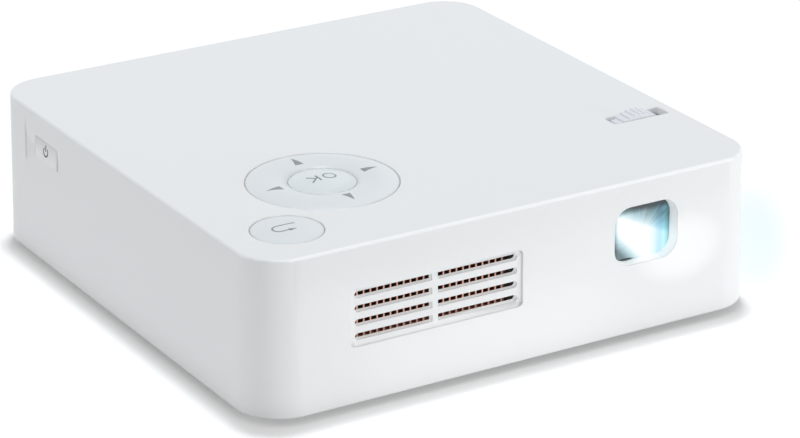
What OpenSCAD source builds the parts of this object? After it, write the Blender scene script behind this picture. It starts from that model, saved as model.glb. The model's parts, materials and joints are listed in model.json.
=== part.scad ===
// Pocket LED projector: a square white housing with a key pad and a focus wheel on top,
// a lens window and a cooling grille in front, a power key on the left and sockets at the back.
// Millimetres. The origin is the centre of the footprint, on the surface that the feet stand on.
// The front is -Y, the power key is on -X, the sockets are on +Y and the top is +Z.

/* [Housing] */
// Width of the housing along its bottom edge
body_w = 143; // [141:0.5:152]
// Depth of the housing along its bottom edge
body_d = 143; // [141:0.5:152]
// Height of the housing, without the feet
body_h = 39.7; // [39.2:0.1:44]
// How far the feet lift the housing off the table
foot_lift = 1.8; // [1.2:0.1:3]
// Radius of the upright corners, measured at the top
corner_r = 11.2; // [9:0.1:14]
// How far each side leans out between the top and the bottom edge
draft = 0.77; // [0.4:0.01:1.2]
// Rounding along the top edge
edge_r = 0.8; // [0.4:0.1:1.2]
// Thickness of the side walls
wall = 2; // [1.6:0.1:2.2]
// Thickness of the top
top_t = 2; // [1.6:0.1:2.1]
// Thickness of the bottom cover
cover_t = 2.4; // [2.2:0.1:3]
// Thickness of the housing's rim outside the bottom cover
rim_t = 1.1; // [0.9:0.05:1.3]
// Gap around a part that drops into a seat
fit_gap = 0.15; // [0.1:0.05:0.25]
// Radius of a rubber foot
foot_r = 6; // [4:0.5:7]
// Depth of the seat that holds a foot
foot_seat = 0.6; // [0.4:0.1:0.9]
// Distance of a foot's centre from the two nearest sides
foot_in = 17.5; // [16:0.5:19]

/* [Keys] */
// Distance of the key pad's centre from the left side and from the front
pad_in = 39.9; // [39:0.1:41]
// Radius of the key pad
pad_r = 18.65; // [18:0.05:19]
// Radius of the middle key
ok_r = 8.25; // [7.5:0.05:8.5]
// Radius of the return key
return_r = 8.65; // [8:0.05:9]
// Distance of the return key's centre from the left side and from the front
return_in = 17.5; // [17:0.1:18]
// Gap around each key
key_gap = 0.3; // [0.25:0.05:0.4]
// How far the key pad's ring swells above its edges
pad_crown = 0.75; // [0.4:0.05:0.9]
// How far the middle key is domed
ok_crown = 1.2; // [0.6:0.05:1.3]
// How far the return key is domed
return_crown = 0.6; // [0.3:0.05:0.8]
// How far a key goes down when it is pressed
key_travel = 0.35; // [0.2:0.05:0.35]
// Length of the power key along the side
power_w = 12.7; // [10:0.1:14]
// Height of the power key
power_h = 5.5; // [4.5:0.1:6.5]
// Distance of the power key's centre from the back
power_in = 30.45; // [30:0.1:32]
// Distance of the power key's centre below the top
power_drop = 9.2; // [8.8:0.1:10]

/* [Lens] */
// Distance of the lens axis from the right side
lens_in = 34.8; // [34.2:0.1:35]
// Distance of the lens axis below the top
lens_drop = 14.2; // [14:0.1:15]
// Width of the lens window at the front face
window_w = 18.6; // [16:0.1:20]
// Height of the lens window at the front face
window_h = 15.2; // [13:0.1:17]
// Corner radius of the lens window
window_r = 4.6; // [3:0.1:6]
// How far each side of the window narrows towards the glass
window_flare = 1; // [0.4:0.1:1.4]
// Depth of the window in front of its glass
window_depth = 2.5; // [2.3:0.1:2.8]
// Thickness of the window glass
glass_t = 1.2; // [0.8:0.1:1.4]
// Inner radius of the fixed lens sleeve
sleeve_r = 8.85; // [8.6:0.05:9]
// Wall of the fixed lens sleeve
sleeve_t = 0.75; // [0.6:0.05:0.75]
// Outer radius of the front lens bell
bell_r = 10.4; // [9.8:0.1:10.8]
// Distance that the lens moves for one full turn of the focus ring
focus_lead = 10; // [6:0.5:11]

/* [Focus drive] */
// Radius of the focus wheel over its ridges
wheel_r = 9.2; // [8.8:0.1:9.2]
// Thickness of the focus wheel
wheel_t = 4.4; // [3.6:0.1:4.6]
// How far the focus wheel stands above the top
wheel_rise = 1.3; // [0.6:0.1:1.3]
// Number of ridges around the focus wheel
wheel_ridges = 36; // [24:2:40]
// Distance of the focus wheel's axle from the right side
wheel_in = 12.5; // [12.3:0.1:12.8]
// Distance of the focus wheel's middle from the front
wheel_back = 37.9; // [37.5:0.1:39]
// Length of the slot for the focus wheel
wheel_slot_w = 16.6; // [15.6:0.1:16.8]
// How far the middle of that slot lies to the right of the wheel's axle
wheel_slot_x = 0.4; // [0:0.1:0.5]
// Gap on each side of the focus wheel in its slot
wheel_gap = 0.4; // [0.3:0.05:0.6]
// Tooth size of the focus gears: pitch diameter over number of teeth
gear_module = 0.6; // [0.595:0.005:0.605]
// Thinning of each tooth, for play
gear_play = 0.12; // [0.08:0.01:0.16]
// Width of the focus gears
gear_t = 2.6; // [2:0.1:3]

/* [Grille] */
// Distance from the left side to the first slots
grille_in = 26; // [25.5:0.1:27]
// Length of the left slots
slot_w1 = 21.2; // [19:0.1:21.5]
// Length of the right slots
slot_w2 = 22.2; // [20:0.1:22.5]
// Width of the bar between the left and right slots
grille_bar = 1.6; // [1.2:0.1:2]
// Height of one slot
slot_h = 1.65; // [1.2:0.05:2]
// Distance from one slot to the next
slot_pitch = 3.52; // [3.2:0.02:3.7]
// Distance from the top of the housing to the top slot
grille_drop = 12.6; // [12.2:0.1:13.2]
// Number of slots in a column
slot_rows = 4; // [3:1:4]
// Depth of the shallow panel around the slots
panel_depth = 0.5; // [0.3:0.05:0.7]

/* [Cooling] */
// Number of copper fins
fin_count = 25; // [20:1:25]
// Distance from one fin to the next
fin_pitch = 1.83; // [1.6:0.01:1.84]
// Thickness of a fin
fin_t = 0.3; // [0.2:0.05:0.4]
// Depth of the fins, front to back
fin_depth = 12; // [10:0.5:12]
// Height of the fins
fin_h = 14.8; // [13:0.1:14.8]
// Width and depth of the square fan
fan_w = 46.5; // [44:0.5:47]
// Height of the fan
fan_h = 15; // [13:0.5:15]
// Radius of the fan's blade ring
fan_r = 18.5; // [16:0.5:19]
// Number of fan blades
fan_blades = 29; // [19:2:33]
// Width of the flat heat pipe
pipe_w = 6; // [5:0.5:6]
// Height of the flat heat pipe
pipe_h = 3; // [2.4:0.1:3]

/* [Light engine] */
// Wall of the engine case
engine_wall = 1.6; // [1.2:0.1:1.8]
// Size of the prism block, in plan
prism_w = 14; // [12:0.5:15]
// Radius of the relay lens
relay_r = 8; // [7:0.1:8.4]
// Radius of the two collimator lenses
collimator_r = 6.5; // [5.5:0.1:7]
// Width and height of the square light boards
led_board_w = 18; // [16:0.5:18]
// Thickness of the bent copper heat plate
heat_plate_t = 3; // [2:0.1:3.2]

/* [Electronics] */
// Thickness of the main board
board_t = 1.6; // [1.2:0.1:1.8]
// Height of the main board above the bottom cover
board_lift = 2; // [1.8:0.1:2.6]
// Length of the battery pack, front to back
battery_d = 52; // [40:1:52]
// Height of the battery pack
battery_h = 7.4; // [6:0.1:7.6]
// Radius of the audio socket's hole
audio_r = 1.8; // [1.75:0.01:1.9]
// Radius of the power socket's hole
power_jack_r = 3.1; // [2.9:0.05:3.2]
// Radius of the hole in the tripod insert
tripod_r = 2.6; // [2.55:0.05:3.2]
// Depth of the hole in the tripod insert
tripod_depth = 6.2; // [5:0.1:6.4]

/* [Hidden] */
$fn = 64;
cut = 1; // how far a cutter runs past a face

// The sides, the levels and the lean of the walls
left = -body_w / 2;
right = body_w / 2;
front = -body_d / 2;
back = body_d / 2;
z_rim = foot_lift;
z_top = foot_lift + body_h;
z_ceiling = z_top - top_t;
z_floor = z_rim + cover_t;
slope = draft / body_h;
lean = atan(slope);

// Half the outer width or depth of the housing at a height
function half_at(size, z) = size / 2 - slope * (z - z_rim);
function in_x(z) = half_at(body_w, z) - wall;
function in_y(z) = half_at(body_d, z) - wall;

// ---- outlines ----

// A rectangle with round corners, centred, as points
function rounded_points(w, d, r, n = 8) = [
  for (q = [0:3])
    for (i = [0:n])
      let (
        a = q * 90 + 90 * i / n,
        sx = (q == 0 || q == 3) ? 1 : -1,
        sy = q < 2 ? 1 : -1
      )
      [sx * (w / 2 - r) + r * cos(a), sy * (d / 2 - r) + r * sin(a)]
];

// A slot from x0 to x1, with its ends round or square
function slot_points(x0, x1, h, round0, round1, n = 8) = concat(
  round1 ? [for (i = [0:n]) let (a = -90 + 180 * i / n) [x1 - h / 2 + h / 2 * cos(a), h / 2 * sin(a)]]
     : [[x1, -h / 2], [x1, h / 2]],
  round0 ? [for (i = [0:n]) let (a = 90 + 180 * i / n) [x0 + h / 2 + h / 2 * cos(a), h / 2 * sin(a)]]
     : [[x0, h / 2], [x0, -h / 2]]
);

// The leaning side and the rounded top edge, from the bottom up; half is measured at z_top
function side_points(half, zb, zt, r, n = 6) =
  let (
    side = half + slope * (z_top - zt),
    cx = side - r * (1 - sin(lean)) / cos(lean),
    cz = zt - r
  )
  concat(
    [[half + slope * (z_top - zb), zb]],
    [for (i = [0:n]) let (a = lean + (90 - lean) * i / n) [cx + r * cos(a), cz + r * sin(a)]]
  );

function mirrored(points) = [for (i = [len(points) - 1:-1:0]) [-points[i][0], points[i][1]]];

module rounded_slab(w, d, h, r) {
  linear_extrude(h) polygon(rounded_points(w, d, r));
}

// Block with leaning sides, round corners and a rounded top edge, set in from the outer faces
module leaning_block(inset, zb, zt, r) {
  hx = body_w / 2 - draft - inset;
  hy = body_d / 2 - draft - inset;
  rc = corner_r - inset;
  across = side_points(hx, zb, zt, r);
  along = side_points(hy, zb, zt, r);
  translate([0, hy - rc, 0])
    rotate([90, 0, 0])
      linear_extrude(2 * (hy - rc)) polygon(concat(across, mirrored(across)));
  translate([-(hx - rc), 0, 0])
    rotate([90, 0, 90])
      linear_extrude(2 * (hx - rc)) polygon(concat(along, mirrored(along)));
  for (q = [0:3])
    translate([(q == 0 || q == 3 ? 1 : -1) * (hx - rc), (q < 2 ? 1 : -1) * (hy - rc), 0])
      rotate(90 * q)
        rotate_extrude(angle = 90) polygon(concat([[0, zb]], side_points(rc, zb, zt, r), [[0, zt]]));
}

// Draws its children on the front wall: x along the wall, y into the housing, z up the leaning face
module on_front(x, z) {
  translate([x, -half_at(body_d, z), z]) rotate([-lean, 0, 0]) children();
}

// The same on the left wall, where local x runs towards the front
module on_left(y, z) {
  translate([-half_at(body_w, z), y, z]) rotate([0, lean, 0]) rotate(-90) children();
}

// The same on the right wall, where local x runs towards the back
module on_right(y, z) {
  translate([half_at(body_w, z), y, z]) rotate([0, -lean, 0]) rotate(90) children();
}

// The same on the back wall, where local x runs towards the left
module on_back(x, z) {
  translate([x, half_at(body_d, z), z]) rotate([lean, 0, 0]) rotate(180) children();
}

// Extrudes a 2D outline drawn in x and z along +y, from y = 0
module extrude_y(h) {
  rotate([90, 0, 0]) mirror([0, 0, 1]) linear_extrude(h) children();
}

// A cylinder or cone along +y from y = 0
module rod_y(r, h, r2 = undef) {
  rotate([-90, 0, 0]) cylinder(h = h, r1 = r, r2 = is_undef(r2) ? r : r2);
}

// A cylinder along +x from x = 0
module rod_x(r, h) {
  rotate([0, 90, 0]) cylinder(h = h, r = r);
}

// ---- places that several pieces share ----

pad_c = [left + pad_in, front + pad_in];
return_c = [left + return_in, front + return_in];
power_y = back - power_in;
power_z = z_top - power_drop;
lens_x = right - lens_in;
lens_z = z_top - lens_drop;
wheel_c = [right - wheel_in, z_top + wheel_rise - wheel_r];
wheel_y = front + wheel_back;

foot_places = [for (sx = [-1, 1]) for (sy = [-1, 1]) [sx * (body_w / 2 - foot_in), sy * (body_d / 2 - foot_in)]];

// Housing screws: place, and the direction of the web that ties the boss to a wall
screw_side = 9.5;
screw_places = [
  [left + 7.5, front + 35.5, -1],
  [right - screw_side, front + 10.5, 1],
  [right - screw_side, back - 10.5, 1],
  [left + 10, back - 10.5, -1]
];
boss_r = 3;
pilot_r = 0.9;
screw_head_r = 2.2;
screw_head_h = 1.2;
small_shank_r = 0.7;
small_pilot_r = 0.75;
small_head_r = 1.8;
small_head_h = 1;
small_screw_len = 3.2;

// Keys, from the top down
cap_under = z_top - 2.65;         // underside of the key caps
cushion_gap = 0.4;                // room for the pad to rock on its cushion
cushion_top = cap_under - cushion_gap;
cushion_t = 1.05;
dome_h = 0.45;
dome_r = 3;
board_top = z_top - 5.4;          // top of the key board
key_board_t = 1.2;
collar_top = cap_under - 0.8;     // silicone collars, clear of the rocking pad
nub_r = (pad_r + ok_r) / 2 - 0.25; // radius of the circle of the four actuators
collar_t = 1.4;
pad_collar_r = pad_r - 1.05;
return_collar_r = return_r - 0.85;
pad_screws = [for (a = [45, 135, 315]) pad_c + (pad_r + 4.05) * [cos(a), sin(a)]];

// Side key
side_x = -half_at(body_w, power_z);
power_face = side_x + 0.2;        // upper edge of the power key's face, level with the scoop
power_tip = 0.45;                 // how far the lower edge of its face stands out beyond that
power_inner = side_x + wall;      // inner face of the wall there
side_flange_x = power_inner + 0.2;
side_flange_t = 0.8;
side_board_x = power_inner + 4;   // outer face of the side key board

// Lens group, measured back from the front face at the lens height
face_y = -half_at(body_d, lens_z);
glass_y = face_y + window_depth;
bell_y = glass_y + glass_t + 1.4;
bell_len = 12.3;
barrel_out = sleeve_r - 0.05;
barrel_in = barrel_out - 0.9;
ring_in = sleeve_r + sleeve_t + 0.05;
ring_out = ring_in + 0.8;
gear_y0 = wheel_y + wheel_t / 2;  // front face of the focus gears
gear_y1 = gear_y0 + gear_t;
engine_y = gear_y1 + 4.6;         // front face of the light engine
flange_t = 2.5;
sleeve_y = bell_y + bell_len + 1.5;
pin_y = sleeve_y + 13;            // guide pins at rest
pin_r = 0.75;
focus_swing = 24;                 // turn of the focus ring to either side
wheel_swing = 59;                 // turn of the focus wheel to either side
lens_travel = focus_lead * focus_swing / 360;

// Focus gears
wheel_gear_r = 4.5;
pressure = 25;
addendum = 0.8 * gear_module;
dedendum = 1.1 * gear_module;
function pitch_r(teeth) = gear_module * teeth / 2;
lens_c = [lens_x, lens_z];
train_v = wheel_c - lens_c;
train_d = norm(train_v);
train_slack = 0.2;                // least spare reach of the idler between the two axles
ring_teeth = round(2 * (ring_out + 0.65) / gear_module);
wheel_teeth = round(2 * wheel_gear_r / gear_module);
idler_teeth = ceil(((train_d + train_slack) * 2 / gear_module - ring_teeth - wheel_teeth) / 2);
reach_lens = pitch_r(ring_teeth) + pitch_r(idler_teeth);
reach_wheel = pitch_r(wheel_teeth) + pitch_r(idler_teeth);
train_a = (reach_lens * reach_lens - reach_wheel * reach_wheel + train_d * train_d) / (2 * train_d);
train_b = sqrt(reach_lens * reach_lens - train_a * train_a);
idler_c = lens_c + train_a * train_v / train_d + train_b * [train_v[1], -train_v[0]] / train_d;

function bearing(from, to) = atan2(to[1] - from[1], to[0] - from[0]);
// The turn that puts gear b in mesh with gear a, whose own turn is known
function mesh_turn(a_c, a_teeth, a_turn, b_c, b_teeth) =
  let (theta = bearing(a_c, b_c), share = (theta - a_turn) * a_teeth / 360)
  theta + 180 - (0.5 - share) * 360 / b_teeth;
ring_turn = 0;
idler_turn = mesh_turn(lens_c, ring_teeth, ring_turn, idler_c, idler_teeth);
wheel_turn = mesh_turn(idler_c, idler_teeth, idler_turn, wheel_c, wheel_teeth);

// Grille rows and panel
grille_x0 = left + grille_in;
grille_x1 = grille_x0 + slot_w1;
grille_x2 = grille_x1 + grille_bar;
grille_x3 = grille_x2 + slot_w2;
grille_mid = (grille_x0 + grille_x3) / 2;
function row_z(i) = z_top - grille_drop - i * slot_pitch;
panel_z = z_top - grille_drop - 1.5 * slot_pitch - 0.3;
panel_w = grille_x3 - grille_x0 + 2.8;
panel_h = 3 * slot_pitch + slot_h + 2.5;

// Cooling, behind the grille
fin_base_z = row_z(3) - 2.9;      // top of the fin stack's base plate is just below the lowest slot
fin_base_t = 1;
fin_y = front + 4.9;
fin_x0 = grille_x0 - 0.8;
fin_w = (fin_count - 1) * fin_pitch + fin_t;
fan_x = fin_x0 + fin_w / 2;
fan_y0 = fin_y + fin_depth + 0.2;
fan_c = [fan_x, fan_y0 + fan_w / 2];
fan_z = fin_base_z + 0.6;
fan_wall = 1.2;
fan_floor = 1.2;
fan_lid_t = 1;
fan_ear_r = 3;
fan_ears = [
  [fan_c[0] - fan_w / 2 - fan_ear_r + 0.4, fan_c[1] + 16, 1],
  [fan_c[0] - fan_w / 2 - fan_ear_r + 0.4, fan_c[1] - 14, 1],
  [fan_c[0] + fan_w / 2 + fan_ear_r - 0.4, fan_c[1] - 14, -1]
];
ear_t = 2;

// Light engine: the prism, relay lens, microlens plate, colour plate and collimator follow the lens
prism_h = prism_w + 3;
collimator_in = 6;                // from the collimator's saddle to the case's outer face
prism_y = engine_y + prism_w / 2 + 4;
relay_y = prism_y + prism_w / 2 + 4;
microlens_y = relay_y + 6;
dichroic_y = microlens_y + 9;
engine_y1 = dichroic_y + 15;
engine_d = engine_y1 - engine_y;
engine_x0 = lens_x - 20.7;
engine_x1 = lens_x + 19.3;
engine_w = engine_x1 - engine_x0;
lid_t = 1.2;
engine_z0 = lens_z - 14.3;
engine_z1 = z_ceiling - lid_t - 1.1;
engine_h = engine_z1 - engine_z0;
engine_floor = engine_z0 + engine_wall;
seat_gap = 0.03;
led_board_t = 1.5;
heat_plate_x = engine_x0 - led_board_t - heat_plate_t;
engine_feet = [
  [engine_x0 + 3.5, engine_y - 3, 90],
  [engine_x1 + 3, engine_y1 - 7, 180],
  [engine_x1 + 3, engine_y + 29, 180]
];
lid_screws = [
  for (x = [engine_x0 + 3, engine_x1 - 3])
    for (y = [engine_y + 3, engine_y1 - 3])
      [x, y]
];
bracket_y = engine_y - 3.6;
bracket_t = 1.6;
bracket_screws = [[engine_x1 - 3.4, lens_z - 8.5], [engine_x1 - 3.4, lens_z + 5]];

// Heat pipe: under the heat plate, forward, then round a bend to the fins
pipe_x = heat_plate_x;            // middle of the straight run
pipe_bend = 8;
pipe_z = fin_base_z - fin_base_t - pipe_h;
pipe_y = fin_y + fin_depth / 2;

// Main board and what stands on it
z_board = z_floor + board_lift;
z_chips = z_board + board_t;
board_half = in_x(z_board) - 1.5;
board_back = in_y(z_board) - 1.3;
board_split_x = heat_plate_x - 4.5;
battery_end = fan_c[1] + battery_d / 2;
board_y0 = battery_end + 2;
board_y1 = engine_y - 14;
board_places = [
  [-board_half + 5, board_y0 + 6],
  [board_half - 5, board_y1 + 4],
  [-board_half + 20, board_back - 5],
  [board_half - 12, engine_y1 + 12],
  [board_split_x + 8, board_y1 + 4]
];
chip_c = [board_split_x - 13, engine_y1 + 6];
socket_out = 2.1;                 // how far the sockets reach past the board's edge
socket_front = board_back + socket_out;
hdmi_size = [14.6, 5.2];
usb_size = [13.2, 5.8];
audio_w = 7.2;
jack_w = 9.2;
socket_gap = 7.5;
jack_x = right - 24.5;
hdmi_x = jack_x - jack_w / 2 - socket_gap - hdmi_size[0] / 2;
usb_x = hdmi_x - hdmi_size[0] / 2 - socket_gap - usb_size[0] / 2;
audio_x = usb_x - usb_size[0] / 2 - socket_gap - audio_w / 2;
hdmi_z = z_chips + hdmi_size[1] / 2;
usb_z = z_chips + usb_size[1] / 2;
audio_z = z_chips + 3.1;
jack_z = z_chips + jack_w / 2;
speaker_x0 = left + 14;
speaker_x1 = audio_x - audio_w / 2 - 2;
speaker_x = (speaker_x0 + speaker_x1) / 2;
speaker_size = [speaker_x1 - speaker_x0, 20, z_ceiling - z_chips - 8];
speaker_z = z_ceiling - speaker_size[2] / 2;
driver_r = 11;
tripod_c = [0, front + 42.5];
tripod_out_r = 3.9;
tripod_boss_r = 5.2;
battery_x0 = left + 24.5;
battery_w = tripod_c[0] - tripod_boss_r - 0.3 - battery_x0;
battery_x = battery_x0 + battery_w / 2;

// Puts its children at each place of a list, at height z
module at_each(places, z) {
  for (p = places) translate([p[0], p[1], z]) children();
}

// ---- housing ----

// The rows of slots, as cutters on the front wall
module grille_cutters(x0, x3) {
  on_front((x0 + x3) / 2, panel_z)
    translate([0, -cut, 0])
      extrude_y(cut + panel_depth) polygon(rounded_points(panel_w, panel_h, 1.2));
  for (i = [0:slot_rows - 1])
    translate([0, front - cut, row_z(i)])
      extrude_y(wall + 3 * cut) {
        polygon(slot_points(x0, x0 + slot_w1, slot_h, true, false));
        polygon(slot_points(x3 - slot_w2, x3, slot_h, false, true));
      }
}

// The right wall has the same slots, where the cooling air comes in
module side_grille_cut() {
  half = (grille_x3 - grille_x0) / 2;
  translate([(body_w - body_d) / 2, 10, 0]) rotate(90) grille_cutters(-half, half);
}

// The window narrows from the front face to the glass
module window_cut() {
  on_front(lens_x, lens_z)
    hull() {
      translate([0, -0.3, 0])
        extrude_y(0.3) polygon(rounded_points(window_w, window_h, window_r));
      translate([0, window_depth, 0])
        extrude_y(cut) polygon(
          rounded_points(window_w - 2 * window_flare, window_h - 0.4, window_r - 0.4));
    }
}

// A collar inside the wall that thickens it around the window, with a flat seat for the glass
module window_frame() {
  translate([lens_x, glass_y - 0.9, lens_z])
    extrude_y(0.9) polygon(rounded_points(window_w + 4.4, window_h + 4.4, window_r + 2));
}

module wheel_slot_cut() {
  depth = wheel_t + 2 * wheel_gap;
  middle = wheel_c[0] + wheel_slot_x;
  translate([middle, wheel_y, z_ceiling - cut])
    linear_extrude(top_t + 2 * cut) polygon(rounded_points(wheel_slot_w, depth, 0.5));
  hull() {
    translate([middle, wheel_y, z_top - 0.3]) rounded_slab(wheel_slot_w, depth, 0.01, 0.5);
    translate([middle, wheel_y, z_top]) rounded_slab(wheel_slot_w + 0.6, depth + 0.6, 0.01, 0.8);
  }
}

// Shallow round-bottomed finger scoop that is deepest at its back end and runs out to nothing
module power_scoop_cut() {
  length = 26;
  height = 11;
  depth = 0.5;
  r = (height * height / 4 + depth * depth) / (2 * depth);
  on_left(power_y + 12.3, power_z - 0.6)
    rotate([0, 0, -atan(depth / length)])
      translate([0, depth - r, 0]) rod_x(r, length + 2);
}

module power_key_cut() {
  translate([side_x - 2 * cut, power_y, power_z])
    rotate([0, 90, 0])
      rotate(90)
        rounded_slab(power_w + 2 * 0.2, power_h + 2 * 0.2, wall + 4 * cut, 0.5);
}

module socket_cuts() {
  depth = wall + 2 * cut;
  y = half_at(body_d, z_chips) + cut;
  translate([hdmi_x, y - depth, hdmi_z])
    extrude_y(depth) polygon(rounded_points(hdmi_size[0] + 1, hdmi_size[1] + 1, 1.2));
  translate([usb_x, y - depth, usb_z])
    extrude_y(depth) polygon(rounded_points(usb_size[0] + 1, usb_size[1] + 1, 0.8));
  translate([audio_x, y - depth, audio_z]) rod_y(3.3, depth);
  translate([jack_x, y - depth, jack_z]) rod_y(4.8, depth);
  for (i = [-3:3])
    translate([speaker_x + i * 3, y - depth - cut, speaker_z])
      extrude_y(depth + 2 * cut) polygon([for (p = slot_points(-5, 5, 1.3, true, true)) [p[1], p[0]]]);
}

module housing_bosses() {
  for (s = screw_places) {
    translate([s[0], s[1], z_floor]) cylinder(h = z_ceiling - z_floor + 0.5, r = boss_r);
    // a web ties each boss to the side wall
    reach = in_x(z_floor) + 0.5 - abs(s[0]);
    translate([s[2] > 0 ? s[0] : s[0] - reach, s[1] - 0.7, z_floor + 2])
      cube([reach, 1.4, z_ceiling - z_floor - 1.5]);
  }
  // posts that the key board is screwed to
  at_each(pad_screws, board_top) cylinder(h = z_ceiling - board_top + 0.5, r = 2.4);
  // collars that guide the keys
  translate([pad_c[0], pad_c[1], z_ceiling - 0.6])
    cylinder(h = 1, r = pad_r + key_gap + 1.1);
  translate([return_c[0], return_c[1], z_ceiling - 0.6])
    cylinder(h = 1, r = return_r + key_gap + 1.1);
  // two ribs that hold the side key board
  for (sy = [-1, 1])
    translate([side_x + wall / 2, power_y + sy * (power_w / 2 + 2.45) - 0.8, power_z - 4.2])
      cube([side_board_x - side_x - wall / 2, 1.6, z_ceiling - power_z + 4.7]);
}

module housing_boss_holes() {
  at_each(screw_places, z_floor - cut) cylinder(h = 14 + cut, r = pilot_r);
  at_each(pad_screws, board_top - cut) cylinder(h = small_screw_len + cut, r = small_pilot_r);
}

module key_holes() {
  translate([pad_c[0], pad_c[1], z_ceiling - 2 * cut]) cylinder(h = top_t + 3 * cut, r = pad_r + key_gap);
  translate([pad_c[0], pad_c[1], z_top - 0.2])
    cylinder(h = 0.4, r1 = pad_r + key_gap, r2 = pad_r + key_gap + 0.4);
  translate([return_c[0], return_c[1], z_ceiling - 2 * cut])
    cylinder(h = top_t + 3 * cut, r = return_r + key_gap);
  translate([return_c[0], return_c[1], z_top - 0.2])
    cylinder(h = 0.4, r1 = return_r + key_gap, r2 = return_r + key_gap + 0.4);
}

// Half the size of the bottom cover's seat in the rim
seat_w = body_w - 2 * rim_t;
seat_d = body_d - 2 * rim_t;
seat_corner = corner_r + draft - rim_t;

module upper_housing() {
  color([0.93, 0.94, 0.95])
    difference() {
      union() {
        difference() {
          leaning_block(0, z_rim, z_top, edge_r);
          leaning_block(wall, z_rim - cut, z_ceiling, 0.6);
        }
        housing_bosses();
        window_frame();
      }
      translate([0, 0, z_rim - cut]) rounded_slab(seat_w, seat_d, cut + cover_t, seat_corner);
      grille_cutters(grille_x0, grille_x3);
      side_grille_cut();
      window_cut();
      wheel_slot_cut();
      power_scoop_cut();
      power_key_cut();
      socket_cuts();
      key_holes();
      housing_boss_holes();
    }
}

module small_pilot() {
  cylinder(h = small_screw_len + cut, r = small_pilot_r);
}

module base_cover() {
  lip_r = corner_r + draft - wall - fit_gap;
  color([0.88, 0.89, 0.9])
    difference() {
      union() {
        translate([0, 0, z_rim])
          rounded_slab(seat_w - 2 * fit_gap, seat_d - 2 * fit_gap, cover_t, seat_corner - fit_gap);
        // a lip inside the wall keeps the light in and stiffens the edge
        translate([0, 0, z_floor])
          difference() {
            rounded_slab(2 * (in_x(z_floor) - 2 * fit_gap), 2 * (in_y(z_floor) - 2 * fit_gap), 1.6, lip_r);
            translate([0, 0, -cut])
              rounded_slab(2 * (in_x(z_floor) - 1.3), 2 * (in_y(z_floor) - 1.3), 2 + 2 * cut, lip_r - 1);
            for (s = screw_places)
              translate([s[0] + s[2] * 3, s[1], 0]) cube([14, 8, 8], center = true);
          }
        // posts under the main board, the fan and the light engine
        at_each(board_places, z_floor - 0.5) cylinder(h = board_lift + 0.5, r = 2.5);
        at_each(fan_ears, z_floor - 0.5) cylinder(h = fan_z - z_floor + 0.5, r = 2.2);
        at_each(engine_feet, z_floor - 0.5) cylinder(h = engine_z0 - z_floor + 0.5, r = 2.6);
        // the boss round the tripod insert
        translate([tripod_c[0], tripod_c[1], z_floor - 0.5])
          cylinder(h = z_rim + tripod_depth + 1.4 - z_floor + 0.5, r = tripod_boss_r);
        // ribs that fence the battery
        for (sy = [-1, 1])
          translate([battery_x - battery_w / 2, fan_c[1] + sy * (battery_d / 2 + 0.9) - 0.6, z_floor - 0.5])
            cube([battery_w, 1.2, 3.5]);
      }
      at_each(screw_places, z_rim - cut) cylinder(h = cut + 1.4, r = screw_head_r + 0.3);
      at_each(screw_places, z_rim) cylinder(h = cover_t + cut, r = 1.25);
      at_each(foot_places, z_rim - cut) cylinder(h = cut + foot_seat, r = foot_r + fit_gap);
      translate([tripod_c[0], tripod_c[1], z_rim - cut])
        cylinder(h = cut + tripod_depth + 0.4, r = tripod_out_r);
      at_each(board_places, z_board - small_screw_len) small_pilot();
      at_each(fan_ears, fan_z - small_screw_len) small_pilot();
      at_each(engine_feet, engine_z0 - small_screw_len) small_pilot();
    }
}

module feet() {
  color([0.35, 0.36, 0.38])
    at_each(foot_places, 0) {
      translate([0, 0, 0.5]) cylinder(h = z_rim + foot_seat - 0.5, r = foot_r);
      cylinder(h = 0.5, r1 = foot_r - 0.5, r2 = foot_r);
    }
}

module tripod_insert() {
  color([0.8, 0.65, 0.35])
    translate([tripod_c[0], tripod_c[1], z_rim])
      difference() {
        union() {
          cylinder(h = tripod_depth + 0.4, r = tripod_out_r - 0.35);
          for (z = [0.4, tripod_depth - 2.2])
            translate([0, 0, z]) cylinder(h = 2.2, r = tripod_out_r);
        }
        translate([0, 0, -cut]) cylinder(h = tripod_depth + cut, r = tripod_r);
      }
}

// A screw that points up from its head, with a cross recess
module screw_up(head_r, head_h, shank_r, length) {
  difference() {
    union() {
      cylinder(h = head_h, r = head_r);
      translate([0, 0, head_h]) cylinder(h = length, r = shank_r);
    }
    for (a = [0, 90])
      rotate(a) translate([-head_r * 0.55, -0.2, -cut]) cube([head_r * 1.1, 0.4, cut + head_h * 0.6]);
  }
}

module housing_screws() {
  color([0.3, 0.3, 0.32])
    at_each(screw_places, z_rim + 1.4 - screw_head_h)
      screw_up(screw_head_r, screw_head_h, pilot_r - 0.05, cover_t + 8);
}

module small_screw_up() {
  screw_up(small_head_r, small_head_h, small_shank_r, small_screw_len);
}

module inner_screws() {
  color([0.55, 0.55, 0.58]) {
    at_each(pad_screws, board_top - key_board_t - small_head_h) small_screw_up();
    at_each(board_places, z_chips + small_head_h) mirror([0, 0, 1]) small_screw_up();
    at_each(fan_ears, fan_z + ear_t + small_head_h) mirror([0, 0, 1]) small_screw_up();
    at_each(engine_feet, engine_z0 + ear_t + small_head_h) mirror([0, 0, 1]) small_screw_up();
    at_each(lid_screws, engine_z1 + lid_t + 0.8) mirror([0, 0, 1]) small_screw_up();
    for (p = bracket_screws)
      translate([p[0], bracket_y - small_head_h, p[1]]) rotate([-90, 0, 0]) small_screw_up();
  }
}

module lens_window() {
  color([0.2, 0.3, 0.34, 0.6])
    translate([lens_x, glass_y, lens_z])
      extrude_y(glass_t) polygon(rounded_points(window_w + 2.4, window_h + 2, window_r));
}

// ---- keys ----

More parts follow.
